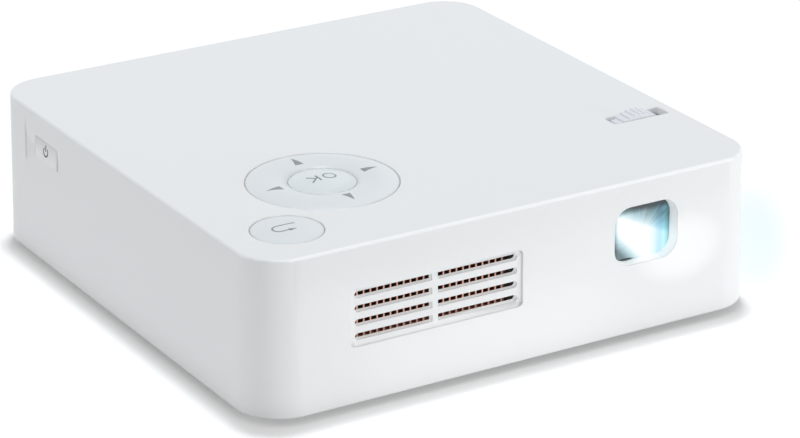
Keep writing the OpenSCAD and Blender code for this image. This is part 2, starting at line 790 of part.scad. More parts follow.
// Points in from radius r1 to r0 over a ring that swells to a height halfway between its edges
function ring_crown(r1, r0, z, height, n = 12) = [
  for (i = [0:n]) let (t = i / n) [r1 + (r0 - r1) * t, z + height * 4 * t * (1 - t)]
];

// Points in from radius r to the middle of a dome
function dome_crown(r, z, height, n = 12) = [
  for (i = [0:n]) let (t = i / n) [r * (1 - t), z + height * t * (2 - t)]
];

key_edge = 0.15;                  // rounding of the keys' upper edges
key_brim = z_top - 0.1;           // the keys' edges lie just below the top

module dpad_ring() {
  inner = ok_r + key_gap;
  color([0.9, 0.91, 0.93])
    translate([pad_c[0], pad_c[1], 0])
      rotate_extrude($fn = 96)
        polygon(concat(
          [[inner, cap_under], [pad_r, cap_under], [pad_r, key_brim - key_edge]],
          ring_crown(pad_r - key_edge, inner + key_edge, key_brim, pad_crown),
          [[inner, key_brim - key_edge]]));
}

module dpad_cushion() {
  color([0.75, 0.75, 0.76])
    translate([pad_c[0], pad_c[1], 0]) {
      translate([0, 0, cushion_top - cushion_t])
        difference() {
          cylinder(h = cushion_t, r = nub_r + 1.4);
          translate([0, 0, -cut]) cylinder(h = cushion_t + 2 * cut, r = ok_r + 0.95);
        }
      for (a = [0:90:270])
        rotate(a) translate([nub_r, 0, cushion_top - cushion_t - 0.4]) cylinder(h = 0.5, r = 1.2);
    }
}

// A round cap with a domed top and a stem
module round_key(r, crown) {
  rotate_extrude($fn = 96)
    polygon(concat(
      [[0, cap_under], [r, cap_under], [r, key_brim - key_edge]],
      dome_crown(r - key_edge, key_brim, crown)));
  translate([0, 0, board_top + dome_h + key_travel + 0.2])
    cylinder(h = cap_under - board_top - dome_h - key_travel, r = dome_r);
}

module ok_button() {
  color([0.88, 0.9, 0.92])
    translate([pad_c[0], pad_c[1], 0]) round_key(ok_r, ok_crown);
}

module return_button() {
  color([0.9, 0.91, 0.93])
    translate([return_c[0], return_c[1], 0]) round_key(return_r, return_crown);
}

module power_button() {
  color([0.9, 0.91, 0.92])
    translate([0, power_y, power_z]) {
      difference() {
        translate([power_face - power_tip, 0, 0])
          rotate([0, 90, 0]) rotate(90)
            rounded_slab(power_w, power_h, side_flange_x - power_face + power_tip + 0.1, 0.4);
        translate([power_face, 0, power_h / 2])
          rotate([0, atan(power_tip / power_h), 0])
            translate([-3 * cut, -power_w, -2 * power_h]) cube([3 * cut, 2 * power_w, 4 * power_h]);
      }
      translate([side_flange_x, 0, 0])
        rotate([0, 90, 0]) rotate(90) rounded_slab(power_w + 2.6, power_h + 2.4, side_flange_t, 1);
      translate([side_flange_x + side_flange_t - 0.1, 0, 0])
        rod_x(1.5, 0.9);
    }
}

// Outline of the key board: a disc under the pad, a disc under the return key and three ears
module key_board_outline() {
  translate(pad_c) circle(r = pad_r + 1.35);
  translate(return_c) circle(r = return_r + 0.55);
  translate((pad_c + return_c) / 2) rotate(45) square([norm(pad_c - return_c), 15], center = true);
  for (p = pad_screws) translate(p) circle(r = 3.4);
  translate([pad_c[0], pad_c[1] + pad_r + 1.35]) square([14, 6], center = true);
}

dome_places = concat([pad_c, return_c], [for (a = [0:90:270]) pad_c + nub_r * [cos(a), sin(a)]]);

module key_board() {
  color([0.1, 0.35, 0.2]) {
    difference() {
      translate([0, 0, board_top - key_board_t]) linear_extrude(key_board_t) key_board_outline();
      at_each(pad_screws, board_top - key_board_t - cut) cylinder(h = key_board_t + 2 * cut, r = 1);
    }
    at_each(dome_places, board_top) cylinder(h = dome_h, r1 = dome_r, r2 = dome_r - 0.8);
  }
}

module key_mat() {
  color([0.78, 0.78, 0.8])
    difference() {
      union() {
        translate([0, 0, board_top])
          linear_extrude(0.3)
            difference() {
              union() {
                translate(pad_c) circle(r = pad_r);
                translate(return_c) circle(r = return_r);
                translate((pad_c + return_c) / 2)
                  rotate(45) square([norm(pad_c - return_c), 8], center = true);
              }
              for (p = dome_places) translate(p) circle(r = dome_r + 0.3);
            }
        translate([pad_c[0], pad_c[1], board_top]) cylinder(h = collar_top - board_top, r = pad_collar_r);
        translate([return_c[0], return_c[1], board_top]) cylinder(h = collar_top - board_top, r = return_collar_r);
      }
      translate([pad_c[0], pad_c[1], board_top + 0.3]) cylinder(h = 5, r = pad_collar_r - collar_t);
      translate([return_c[0], return_c[1], board_top + 0.3]) cylinder(h = 5, r = return_collar_r - collar_t);
      at_each(dome_places, board_top - cut) cylinder(h = 3, r = dome_r + 0.3);
    }
}

module side_key_board() {
  plunger_x = side_flange_x + 1.6 + key_travel + 0.15;
  color([0.1, 0.35, 0.2]) {
    translate([side_board_x, power_y - 10, power_z - 4.2]) cube([1.2, 20, 9]);
    translate([side_board_x - 1.2, power_y - 3, power_z - 2.6]) cube([1.3, 6, 5.2]);
    translate([plunger_x, power_y, power_z]) rod_x(1, side_board_x - 1.1 - plunger_x);
  }
}

// Flat cable from the key board down to the main board
module key_ribbon() {
  y0 = pad_c[1] + 17.5;
  y1 = fan_c[1] + fan_w / 2 + 5;
  bend = 2;
  z1 = board_top - key_board_t - 0.3;
  z0 = z_chips + 2;
  color([0.85, 0.6, 0.3])
    translate([pad_c[0] - 5, 0, 0])
      rotate([90, 0, 90])
        linear_extrude(10)
          difference() {
            union() {
              translate([y0, z1]) square([y1 - bend - y0, 0.3]);
              translate([y1 - bend, z1 + 0.3 - bend]) intersection() {
                circle(r = bend);
                square(bend);
              }
              translate([y1 - 0.3, z0 + bend]) square([0.3, z1 - z0 + 0.3 - 2 * bend]);
              translate([y1 + bend - 0.3, z0 + bend]) intersection() {
                circle(r = bend);
                translate([-bend, -bend]) square(bend);
              }
              translate([y1 + bend - 0.3, z0]) square([3, 0.3]);
            }
            translate([y1 - bend, z1 + 0.3 - bend]) circle(r = bend - 0.3);
            translate([y1 + bend - 0.3, z0 + bend]) circle(r = bend - 0.3);
          }
}

// ---- focus drive and lens ----

// Involute of a base circle at an angle of unrolling, in degrees
function involute(base, a) = base * [cos(a) + a * PI / 180 * sin(a), sin(a) - a * PI / 180 * cos(a)];
function unroll(base, r) = r <= base ? 0 : sqrt(pow(r / base, 2) - 1) * 180 / PI;
function turned(p, a) = [p[0] * cos(a) - p[1] * sin(a), p[0] * sin(a) + p[1] * cos(a)];

// Outline of one tooth centred on the +x axis, from one root to the other
function tooth_points(teeth, n = 4) =
  let (
    pr = pitch_r(teeth),
    base = pr * cos(pressure),
    tip = pr + addendum,
    root = pr - dedendum,
    at_pitch = unroll(base, pr),
    polar = atan2(involute(base, at_pitch)[1], involute(base, at_pitch)[0]),
    half = (PI * gear_module / 2 - gear_play) / 2 / pr * 180 / PI + polar,
    low = max(root, base),
    flank = [
      for (i = [0:n])
        let (r = low + (tip - low) * i / n)
        turned(involute(base, unroll(base, r)), -half)
    ]
  )
  concat(
    [turned([root, 0], -half - 2)],
    root < base ? [turned([root, 0], -half)] : [],
    flank,
    [for (i = [n:-1:0]) [flank[i][0], -flank[i][1]]],
    root < base ? [turned([root, 0], half)] : [],
    [turned([root, 0], half + 2)]
  );

function gear_points(teeth, turn) = [
  for (k = [0:teeth - 1]) for (p = tooth_points(teeth)) turned(p, turn + 360 * k / teeth)
];

function wheel_points() = [
  for (k = [0:wheel_ridges - 1])
    for (s = [[-0.30, -0.45], [-0.18, 0], [0.18, 0], [0.30, -0.45]])
      let (a = 360 * (k + s[0]) / wheel_ridges)
      (wheel_r + s[1]) * [cos(a), sin(a)]
];

module focus_wheel() {
  color([0.9, 0.91, 0.92])
    translate([wheel_c[0], wheel_y - wheel_t / 2, wheel_c[1]])
      difference() {
        union() {
          extrude_y(wheel_t) polygon(wheel_points());
          translate([0, -0.8, 0]) rod_y(2.6, 1);
          extrude_y(wheel_t + gear_t) polygon(gear_points(wheel_teeth, wheel_turn));
        }
        translate([0, -0.8 - cut, 0]) rod_y(1.05, 0.8 + wheel_t + gear_t + 2 * cut);
        translate([0, -cut, 0]) difference() {
          rod_y(wheel_r - 1.8, cut + 0.8);
          rod_y(3.4, cut + 0.8);
        }
      }
}

module idler_gear() {
  color([0.85, 0.85, 0.8])
    translate([idler_c[0], gear_y0 + 0.5, idler_c[1]])
      difference() {
        extrude_y(gear_t - 0.6) polygon(gear_points(idler_teeth, idler_turn));
        translate([0, -cut, 0]) rod_y(0.85, gear_t + 2 * cut);
      }
}

module focus_pins() {
  color([0.7, 0.7, 0.72]) {
    translate([wheel_c[0], wheel_y - wheel_t / 2 - 1.7, wheel_c[1]]) {
      rod_y(1.9, 0.6);
      rod_y(1, bracket_y + bracket_t - wheel_y + wheel_t / 2 + 1.7);
    }
    translate([idler_c[0], gear_y0 + 0.1, idler_c[1]]) {
      rod_y(1.4, 0.25);
      rod_y(0.8, bracket_y + bracket_t - gear_y0 - 0.1);
    }
  }
}

module focus_bracket() {
  color([0.6, 0.6, 0.62])
    difference() {
      union() {
        translate([0, bracket_y, 0])
          extrude_y(bracket_t) {
            translate(wheel_c) circle(r = 3.4);
            translate(idler_c) circle(r = 2.8);
            for (p = bracket_screws) translate(p) circle(r = 2.8);
            translate([bracket_screws[0][0] - 2.8, bracket_screws[0][1]])
              square([5.6, bracket_screws[1][1] - bracket_screws[0][1]]);
            arm = wheel_c - bracket_screws[1];
            translate(bracket_screws[1])
              rotate(atan2(arm[1], arm[0])) translate([0, -2.2]) square([norm(arm), 4.4]);
            arm2 = idler_c - bracket_screws[1];
            translate(bracket_screws[1])
              rotate(atan2(arm2[1], arm2[0])) translate([0, -2]) square([norm(arm2), 4]);
          }
        for (p = bracket_screws)
          translate([p[0], bracket_y + bracket_t - 0.1, p[1]]) rod_y(2.2, engine_y - bracket_y - bracket_t + 0.1);
      }
      translate([wheel_c[0], bracket_y - cut, wheel_c[1]]) rod_y(1, bracket_t + 2 * cut);
      translate([idler_c[0], bracket_y - cut, idler_c[1]]) rod_y(0.8, bracket_t + 2 * cut);
      for (p = bracket_screws)
        translate([p[0], bracket_y - cut, p[1]]) rod_y(1, engine_y - bracket_y + 2 * cut);
    }
}

// Cam ring: turned by the gears, its two slanted slots drive the guide pins
module focus_ring() {
  ring_y0 = pin_y - 5.2;
  steps = 8;
  color([0.3, 0.3, 0.32])
    translate([lens_x, 0, lens_z])
      difference() {
        union() {
          translate([0, ring_y0, 0]) rod_y(ring_out, gear_y1 - ring_y0);
          translate([0, gear_y0, 0]) extrude_y(gear_t) polygon(gear_points(ring_teeth, ring_turn));
        }
        translate([0, ring_y0 - cut, 0]) rod_y(ring_in, gear_y1 - ring_y0 + 2 * cut);
        for (side = [0, 180])
          for (i = [0:steps]) {
            turn = (focus_swing + 2) * (2 * i / steps - 1);
            rotate([0, turn - side, 0])
              translate([ring_in - cut, pin_y - focus_lead * turn / 360, 0])
                rod_x(pin_r + 0.25, 3 * cut);
          }
      }
}

module lens_sleeve() {
  out = sleeve_r + sleeve_t;
  color([0.15, 0.15, 0.16])
    translate([lens_x, 0, lens_z])
      difference() {
        union() {
          translate([0, sleeve_y, 0]) rod_y(out, engine_y - sleeve_y);
          // shoulder behind the cam ring, and the square flange on the light engine
          translate([0, gear_y1 + 0.1, 0]) rod_y(ring_out, engine_y - gear_y1 - 0.1);
          translate([0, engine_y - flange_t, 0])
            extrude_y(flange_t) polygon(rounded_points(23, 21.6, 4));
          // retaining ring in front of the cam ring
          translate([0, pin_y - 6.4, 0]) rod_y(ring_out, 1);
        }
        translate([0, sleeve_y - cut, 0]) rod_y(sleeve_r, engine_y - sleeve_y + 2 * cut);
        travel = lens_travel + pin_r + 0.35;
        for (side = [-1, 1])
          translate([side > 0 ? sleeve_r - cut : -out - cut, pin_y - travel, -pin_r - 0.05])
            cube([sleeve_t + 2 * cut, 2 * travel, 2 * (pin_r + 0.05)]);
      }
}

module lens_barrel() {
  color([0.12, 0.12, 0.13])
    translate([lens_x, 0, lens_z])
      difference() {
        union() {
          translate([0, bell_y, 0]) rod_y(bell_r, bell_len);
          translate([0, bell_y, 0]) rod_y(barrel_out, engine_y - 5 - bell_y);
        }
        translate([0, bell_y - cut, 0]) rod_y(bell_r - 0.9, 5.2 + cut);
        translate([0, bell_y + 5.1, 0]) rod_y(bell_r - 2.2, 0.7, barrel_in);
        translate([0, bell_y, 0]) rod_y(barrel_in, engine_y - 5 - bell_y + cut);
        for (side = [-1, 1])
          translate([side > 0 ? barrel_in - cut : -barrel_in - 3 * cut, pin_y, 0])
            rod_x(pin_r, 4 * cut);
      }
}

module guide_pins() {
  color([0.7, 0.7, 0.72])
    translate([lens_x, pin_y, lens_z])
      for (side = [-1, 1])
        translate([side > 0 ? barrel_in : -ring_out + 0.1, 0, 0]) rod_x(pin_r, ring_out - barrel_in - 0.1);
}

// A lens turned about Y: flat rim of a thickness, with a sag at each face
module lens_disc(r, rim, sag_front, sag_back, n = 8) {
  front_arc = [for (i = [0:n]) let (t = i / n) [r * t, sag_front * (1 - t * t)]];
  back_arc = [for (i = [n:-1:0]) let (t = i / n) [r * t, -rim - sag_back * (1 - t * t)]];
  rotate([90, 0, 0]) rotate_extrude() polygon(concat(front_arc, back_arc));
}

module front_lens() {
  color([0.5, 0.6, 0.75, 0.5])
    translate([lens_x, bell_y + 2.2, lens_z]) lens_disc(bell_r - 0.9 - seat_gap, 3, 1.9, -0.5);
}

module middle_lens() {
  color([0.5, 0.6, 0.75, 0.5])
    translate([lens_x, sleeve_y + 3, lens_z]) lens_disc(barrel_in - seat_gap, 3, 0.9, 0.9);
}

module rear_lens() {
  color([0.5, 0.6, 0.75, 0.5])
    translate([lens_x, engine_y - 9, lens_z]) lens_disc(barrel_in - seat_gap, 2.4, 1, 0.4);
}

// ---- light engine ----

// A low saddle on the engine's floor that holds a round lens of radius r standing on edge
module saddle(r, t) {
  height = lens_z - engine_floor - r * 0.6;
  difference() {
    translate([-r * 0.85, -t / 2, 0]) cube([2 * r * 0.85, t, height]);
    translate([0, -t / 2 - cut, lens_z - engine_floor]) rod_y(r + seat_gap, t + 2 * cut);
  }
}

dichroic_base = lens_z - 8 - engine_floor;

module engine_case() {
  inner_w = engine_w - 2 * engine_wall;
  inner_d = engine_d - 2 * engine_wall;
  color([0.55, 0.56, 0.58])
    difference() {
      union() {
        difference() {
          translate([engine_x0, engine_y, engine_z0]) cube([engine_w, engine_d, engine_h]);
          translate([engine_x0 + engine_wall, engine_y + engine_wall, engine_floor])
            cube([inner_w, inner_d, engine_h]);
        }
        // posts for the lid screws in the corners
        at_each(lid_screws, engine_z0) cylinder(h = engine_h, r = 2.2);
        // feet that stand on the posts of the bottom cover
        for (p = engine_feet)
          translate([p[0], p[1], engine_z0]) {
            cylinder(h = ear_t, r = 3);
            rotate(p[2]) translate([0, -3, 0]) cube([3.5, 6, ear_t]);
          }
        // rests for the optics
        translate([lens_x, prism_y, engine_floor - 0.1])
          translate([-prism_w / 2 - 1, -prism_w / 2, 0])
            cube([prism_w + 2, prism_w, lens_z - prism_h / 2 - 0.5 - engine_floor + 0.1]);
        translate([lens_x, relay_y, engine_floor]) saddle(relay_r, 2.4);
        translate([lens_x - 6, microlens_y - 1.6, engine_floor - 0.1]) cube([12, 3.2, lens_z - 7 - engine_floor + 0.1]);
        translate([lens_x, dichroic_y, engine_floor - 0.1])
          rotate(45) translate([-9, -1.5, 0]) cube([18, 3, dichroic_base + 0.1]);
        translate([lens_x, engine_y1 - collimator_in, engine_floor]) saddle(collimator_r, 2.4);
        translate([engine_x0 + collimator_in, dichroic_y, engine_floor]) rotate(90) saddle(collimator_r, 2.4);
        // cast ribs down both long sides
        for (i = [0:3])
          translate([engine_x1 - 0.1, engine_y + 27 + i * 5.6 + (i > 0 ? 3 : 0), engine_z0 + 4])
            cube([0.9, 1.4, engine_h - 8]);
      }
      // light paths: lens, green light, red and blue light, mirror chip
      translate([lens_x, engine_y - cut, lens_z]) rod_y(7.5, engine_wall + 2 * cut);
      translate([lens_x - 4, engine_y1 - engine_wall - cut, lens_z - 4]) cube([8, engine_wall + 2 * cut, 8]);
      translate([engine_x0 - cut, dichroic_y - 4, lens_z - 4]) cube([engine_wall + 2 * cut, 8, 8]);
      translate([engine_x1 - engine_wall - cut, prism_y - 7, lens_z - 4.5]) cube([engine_wall + 2 * cut, 14, 9]);
      at_each(lid_screws, engine_z1 - small_screw_len) small_pilot();
      at_each(engine_feet, engine_z0 - cut) cylinder(h = ear_t + 2 * cut, r = 1);
      for (p = bracket_screws)
        translate([p[0], engine_y - cut, p[1]]) rod_y(small_pilot_r, cut + small_screw_len);
    }
}

module engine_lid() {
  color([0.6, 0.61, 0.63])
    difference() {
      translate([engine_x0, engine_y, engine_z1]) cube([engine_w, engine_d, lid_t]);
      at_each(lid_screws, engine_z1 - cut) cylinder(h = lid_t + 2 * cut, r = 1);
      at_each(lid_screws, engine_z1 + lid_t - 0.2) cylinder(h = 1, r = small_head_r + 0.2);
    }
}

// Two glued wedges with a thin slanted gap, which turn the light onto the mirror chip
module prism() {
  half = prism_w / 2;
  gap = 0.1;
  color([0.7, 0.8, 0.9, 0.5])
    translate([lens_x, prism_y, lens_z - prism_h / 2 - 0.5])
      linear_extrude(prism_h) {
        polygon([[-half + gap, -half], [half, -half], [half, half - gap]]);
        polygon([[-half, -half + gap], [half - gap, half], [-half, half]]);
      }
}

module relay_lens() {
  color([0.6, 0.7, 0.85, 0.5])
    translate([lens_x, relay_y - 1, lens_z]) lens_disc(relay_r, 2, 1.2, 1.2);
}

// A square glass plate with a grid of tiny lenses, shown as raised pads on one face
module microlens_plate() {
  color([0.75, 0.85, 0.9, 0.6])
    translate([lens_x - 7, microlens_y - 0.7, lens_z - 7]) {
      cube([14, 1.4, 14]);
      for (i = [0:4])
        for (j = [0:4])
          translate([1.8 + i * 2.6, -0.25, 1.8 + j * 2.6]) rod_y(0.9, 0.3, 1.1);
    }
}

module dichroic_plate() {
  color([0.7, 0.6, 0.85, 0.5])
    translate([lens_x, dichroic_y, lens_z - 8]) rotate(45) translate([-8.5, -0.5, 0]) cube([17, 1, 16]);
}

module collimator_lenses() {
  color([0.6, 0.7, 0.85, 0.5]) {
    translate([lens_x, engine_y1 - collimator_in - 0.8, lens_z]) lens_disc(collimator_r, 1.6, 1.6, 0);
    translate([engine_x0 + collimator_in + 0.8, dichroic_y, lens_z]) rotate(90) lens_disc(collimator_r, 1.6, 1.6, 0);
  }
}

// A square metal-core board with its light source in the middle of the inner face
module led_board() {
  translate([-led_board_w / 2, 0, -led_board_w / 2]) cube([led_board_w, led_board_t, led_board_w]);
  translate([-2.5, -1, -2.5]) cube([5, 1.1, 5]);
  translate([-7.5, -0.01 + led_board_t - 0.6, 6]) cube([15, 0.6, 3]);
}

module green_led_board() {
  color([0.2, 0.55, 0.35]) translate([lens_x, engine_y1, lens_z]) led_board();
}

module red_blue_led_board() {
  color([0.55, 0.3, 0.4]) translate([engine_x0, dichroic_y, lens_z]) rotate(90) led_board();
}

module mirror_chip() {
  color([0.25, 0.25, 0.3])
    translate([engine_x1, prism_y, lens_z]) {
      translate([0, -9, -7]) cube([2, 18, 14]);
      translate([-1, -6, -4]) cube([1.1, 12, 8]);
    }
}

module mirror_board() {
  color([0.1, 0.35, 0.2])
    translate([engine_x1 + 2, prism_y - 12, lens_z - 9.5])
      difference() {
        cube([1.2, 24, 19]);
        for (y = [2.5, 21.5])
          translate([-cut, y, 9.5]) rod_x(1.2, 1.2 + 2 * cut);
      }
}

module mirror_heatsink() {
  color([0.65, 0.66, 0.68])
    translate([engine_x1 + 3.2, prism_y - 8, lens_z - 9]) {
      cube([1.2, 16, 18]);
      for (i = [0:5]) translate([1.1, i * 3, 0]) cube([3.6, 1, 18]);
    }
}

// ---- cooling ----

// Bent copper plate that takes the heat of both light boards to the pipe
module led_heat_plate() {
  low = fin_base_z - fin_base_t;
  height = lens_z + led_board_w / 2 - low;
  y1 = engine_y1 + led_board_t;
  color([0.8, 0.5, 0.35]) {
    translate([heat_plate_x, dichroic_y - 16, low]) cube([heat_plate_t, y1 + heat_plate_t - dichroic_y + 16, height]);
    translate([heat_plate_x + heat_plate_t - 0.1, y1, low]) cube([lens_x + 10 - heat_plate_x - heat_plate_t, heat_plate_t, height]);
  }
}

module heat_pipe() {
  y_end = engine_y1 - 4;
  corner_x = pipe_x - pipe_bend;
  color([0.75, 0.45, 0.3]) {
    translate([pipe_x - pipe_w / 2, pipe_y + pipe_bend, pipe_z])
      cube([pipe_w, y_end - pipe_y - pipe_bend, pipe_h]);
    translate([pipe_x, y_end, pipe_z]) cylinder(h = pipe_h, r = pipe_w / 2);
    translate([corner_x, pipe_y + pipe_bend, pipe_z])
      rotate(270)
        rotate_extrude(angle = 90)
          translate([pipe_bend - pipe_w / 2, 0]) square([pipe_w, pipe_h]);
    translate([fin_x0 + 2, pipe_y - pipe_w / 2, pipe_z]) cube([corner_x - fin_x0 - 2, pipe_w, pipe_h]);
    translate([fin_x0 + 2, pipe_y, pipe_z]) cylinder(h = pipe_h, r = pipe_w / 2);
  }
}

module fin_stack() {
  color([0.82, 0.45, 0.32])
    translate([fin_x0, fin_y, fin_base_z - fin_base_t]) {
      cube([fin_w, fin_depth, fin_base_t]);
      for (i = [0:fin_count - 1])
        translate([i * fin_pitch, 0, 0]) cube([fin_t, fin_depth, fin_base_t + fin_h]);
    }
}

// Foam frame that seals the fins to the inside of the front wall
module air_seal() {
  z0 = fin_base_z - fin_base_t - 2;
  z1 = fin_base_z + fin_h + 1.6;
  y1 = fin_y - 0.1;
  y0 = -in_y(z0) + 0.5;
  color([0.08, 0.08, 0.08])
    difference() {
      translate([fin_x0 - 2.4, y0, z0]) cube([fin_w + 4.8, y1 - y0, z1 - z0]);
      translate([fin_x0 - 0.4, y0 - cut, z0 + 2]) cube([fin_w + 0.8, y1 - y0 + 2 * cut, z1 - z0 - 3.2]);
    }
}

fan_room_r = fan_r + 2.2;

module fan_case() {
  color([0.12, 0.12, 0.13])
    difference() {
      union() {
        difference() {
          translate([fan_c[0] - fan_w / 2, fan_y0, fan_z]) cube([fan_w, fan_w, fan_h - fan_lid_t]);
          translate([fan_c[0], fan_c[1], fan_z + fan_floor]) cylinder(h = fan_h, r = fan_room_r);
          // the scroll opens into a wide outlet at the front
          translate([fan_c[0] - fan_room_r, fan_y0 - cut, fan_z + fan_floor])
            cube([2 * fan_room_r, fan_w / 2 + cut, fan_h]);
        }
        for (p = fan_ears)
          translate([p[0], p[1], fan_z]) {
            cylinder(h = ear_t, r = fan_ear_r);
            translate([p[2] > 0 ? 0 : -fan_ear_r, -fan_ear_r, 0])
              cube([fan_ear_r, 2 * fan_ear_r, ear_t]);
          }
      }
      at_each(fan_ears, fan_z - cut) cylinder(h = ear_t + 2 * cut, r = 1);
      // three openings in the floor around the motor
      for (a = [30, 150, 270])
        translate([fan_c[0], fan_c[1], fan_z - cut])
          rotate(a)
            rotate_extrude(angle = 80) translate([10.5, 0]) square([4.5, fan_floor + 2 * cut]);
    }
}

module fan_lid() {
  color([0.15, 0.15, 0.16])
    difference() {
      translate([fan_c[0] - fan_w / 2, fan_y0, fan_z + fan_h - fan_lid_t]) cube([fan_w, fan_w, fan_lid_t]);
      translate([fan_c[0], fan_c[1], fan_z]) cylinder(h = fan_h + cut, r = fan_r - 3.5);
    }
}

module fan_motor() {
  z = fan_z + fan_floor;
  color([0.6, 0.4, 0.25])
    translate([fan_c[0], fan_c[1], z])
      difference() {
        union() {
          cylinder(h = 8, r = 2.2);
          translate([0, 0, 1.4])
            for (a = [0:60:300])
              rotate(a) {
                translate([0, -0.9, 0]) cube([6, 1.8, 4]);
                rotate(-22) rotate_extrude(angle = 44) translate([5.8, 0]) square([1.4, 4]);
              }
          cylinder(h = 0.8, r = 7.6);
        }
        translate([0, 0, 1]) cylinder(h = 10, r = 1.05);
      }
}

// One forward-curved blade, standing on the rotor's disc
module fan_blade(h) {
  r0 = fan_r - 4.6;
  rotate_blade = 35;
  translate([(r0 + fan_r) / 2, 0, 0])
    rotate(rotate_blade)
      linear_extrude(h)
        polygon([[-2.2, -0.25], [0, 0.2], [2.2, -0.25], [2.2, 0.15], [0, 0.65], [-2.2, 0.15]]);
}

module fan_rotor() {
  z0 = fan_z + fan_floor + 0.9;
  z1 = fan_z + fan_h - fan_lid_t - 0.7;
  color([0.18, 0.18, 0.2])
    translate([fan_c[0], fan_c[1], 0]) {
      translate([0, 0, z0])
        difference() {
          cylinder(h = z1 - z0, r = 9);
          translate([0, 0, -cut]) cylinder(h = z1 - z0 - 1, r = 8);
        }
      translate([0, 0, z0 + 0.5]) cylinder(h = z1 - z0 - 1, r = 1);
      translate([0, 0, z0])
        difference() {
          cylinder(h = 1, r = fan_r);
          translate([0, 0, -cut]) cylinder(h = 1 + 2 * cut, r = 8.5);
        }
      for (i = [0:fan_blades - 1])
        rotate(360 * i / fan_blades) translate([0, 0, z0 + 0.5]) fan_blade(z1 - z0 - 0.5);
    }
}

// ---- electronics ----

module main_board() {
  hx = board_half;
  color([0.05, 0.3, 0.16])
    difference() {
      translate([0, 0, z_board])
        linear_extrude(board_t)
          polygon([
            [-hx, board_y0], [board_split_x, board_y0], [board_split_x, board_y1], [hx, board_y1],
            [hx, board_back - 16], [hx - 12, board_back - 16], [hx - 12, board_back],
            [-hx + 14, board_back], [-hx + 14, board_back - 16], [-hx, board_back - 16]
          ]);
      at_each(board_places, z_board - cut) cylinder(h = board_t + 2 * cut, r = 1);
      at_each(engine_feet, z_board - cut) cylinder(h = board_t + 2 * cut, r = 3);
      at_each([tripod_c], z_board - cut) cylinder(h = board_t + 2 * cut, r = tripod_boss_r + 0.5);
    }
}

module board_chips() {
  color([0.12, 0.12, 0.12])
    translate([0, 0, z_chips]) {
      translate([chip_c[0] - 8, chip_c[1] - 8, 0]) cube([16, 16, 1.4]);
      for (i = [0:1]) translate([chip_c[0] + 12, chip_c[1] - 9 + i * 11, 0]) cube([9, 8, 1]);
      for (i = [0:3])
        translate([jack_x - 14 + i % 2 * 8, engine_y1 + 8 + floor(i / 2) * 8.5, 0]) cube([6, 6, 2.4]);
      for (i = [0:5]) translate([lens_x - 12 + i * 4, board_y1 + 3, 0]) cube([2.4, 3.6, 1.6]);
      // the socket of the flat cable from the key board
      translate([pad_c[0] - 6, fan_c[1] + fan_w / 2 + 6.7, 0]) cube([12, 4, 2]);
    }
}

module chip_heatsink() {
  color([0.65, 0.66, 0.68])
    translate([chip_c[0] - 10, chip_c[1] - 10, z_chips + 1.4]) {
      cube([20, 20, 1.6]);
      for (i = [0:6]) translate([i * 3.17, 0, 1.5]) cube([1, 20, 6.6]);
    }
}

module wireless_card() {
  color([0.1, 0.25, 0.45])
    translate([-board_half + 8, board_y0 + 17, z_chips]) {
      cube([16, 22, 1]);
      translate([2, 3, 0.9]) cube([12, 13, 1.4]);
    }
}

module battery_pack() {
  color([0.2, 0.3, 0.5])
    translate([battery_x, battery_end - battery_d / 2, z_floor]) {
      rounded_slab(battery_w, battery_d, battery_h - 0.4, 2);
      translate([0, 0, battery_h - 0.5]) rounded_slab(battery_w - 1.6, battery_d - 1.6, 0.5, 1.4);
    }
}

// A pressed metal socket with a tongue: width and height outside, and the tongue's height and lift
module shell_socket(w, h, depth, tongue_h, tongue_lift) {
  t = 0.45;
  difference() {
    translate([-w / 2, -depth, 0]) cube([w, depth, h]);
    translate([-w / 2 + t, -depth + 1.2, t]) cube([w - 2 * t, depth, h - 2 * t]);
  }
  translate([-w / 2 + 1.6, -depth + 1, tongue_lift]) cube([w - 3.2, depth - 2.2, tongue_h]);
}

module hdmi_socket() {
  color([0.6, 0.6, 0.62])
    translate([hdmi_x, socket_front, z_chips]) shell_socket(hdmi_size[0], hdmi_size[1], 12, 0.9, 2.2);
}

module usb_socket() {
  color([0.6, 0.6, 0.62])
    translate([usb_x, socket_front, z_chips]) shell_socket(usb_size[0], usb_size[1], 14, 1.7, 3.2);
}

module audio_socket() {
  color([0.1, 0.1, 0.11])
    difference() {
      union() {
        translate([audio_x - audio_w / 2, board_back - 12.5, z_chips]) cube([audio_w, 12.3, 6.2]);
        translate([audio_x, board_back - 0.5, audio_z]) rod_y(3, socket_out + 0.5);
      }
      translate([audio_x, board_back - 11.5, audio_z]) rod_y(audio_r, 11.5 + socket_out + cut);
    }
}

module power_socket() {
  color([0.1, 0.1, 0.11]) {
    difference() {
      union() {
        translate([jack_x - jack_w / 2, board_back - 11.5, z_chips]) cube([jack_w, 11.3, jack_w]);
        translate([jack_x, board_back - 0.5, jack_z]) rod_y(4.5, socket_out + 0.5);
      }
      translate([jack_x, board_back - 8, jack_z]) rod_y(power_jack_r, 8 + socket_out + cut);
    }
    translate([jack_x, board_back - 8.1, jack_z]) rod_y(0.95, 7.6);
  }
}

module speaker_box() {
  w = speaker_size[0];
  d = speaker_size[1];
  h = speaker_size[2];
  color([0.15, 0.15, 0.16])
    translate([speaker_x, board_back - 3.2 - d, speaker_z - h / 2])
      difference() {
        translate([-w / 2, 0, 0]) cube([w, d, h]);
        translate([-w / 2 + 1.2, 1.2, 1.2]) cube([w - 2.4, d - 2.4, h - 2.4]);
        translate([0, d - 1.2 - cut, h / 2]) rod_y(driver_r - 1.5, 1.2 + 2 * cut);
      }
}

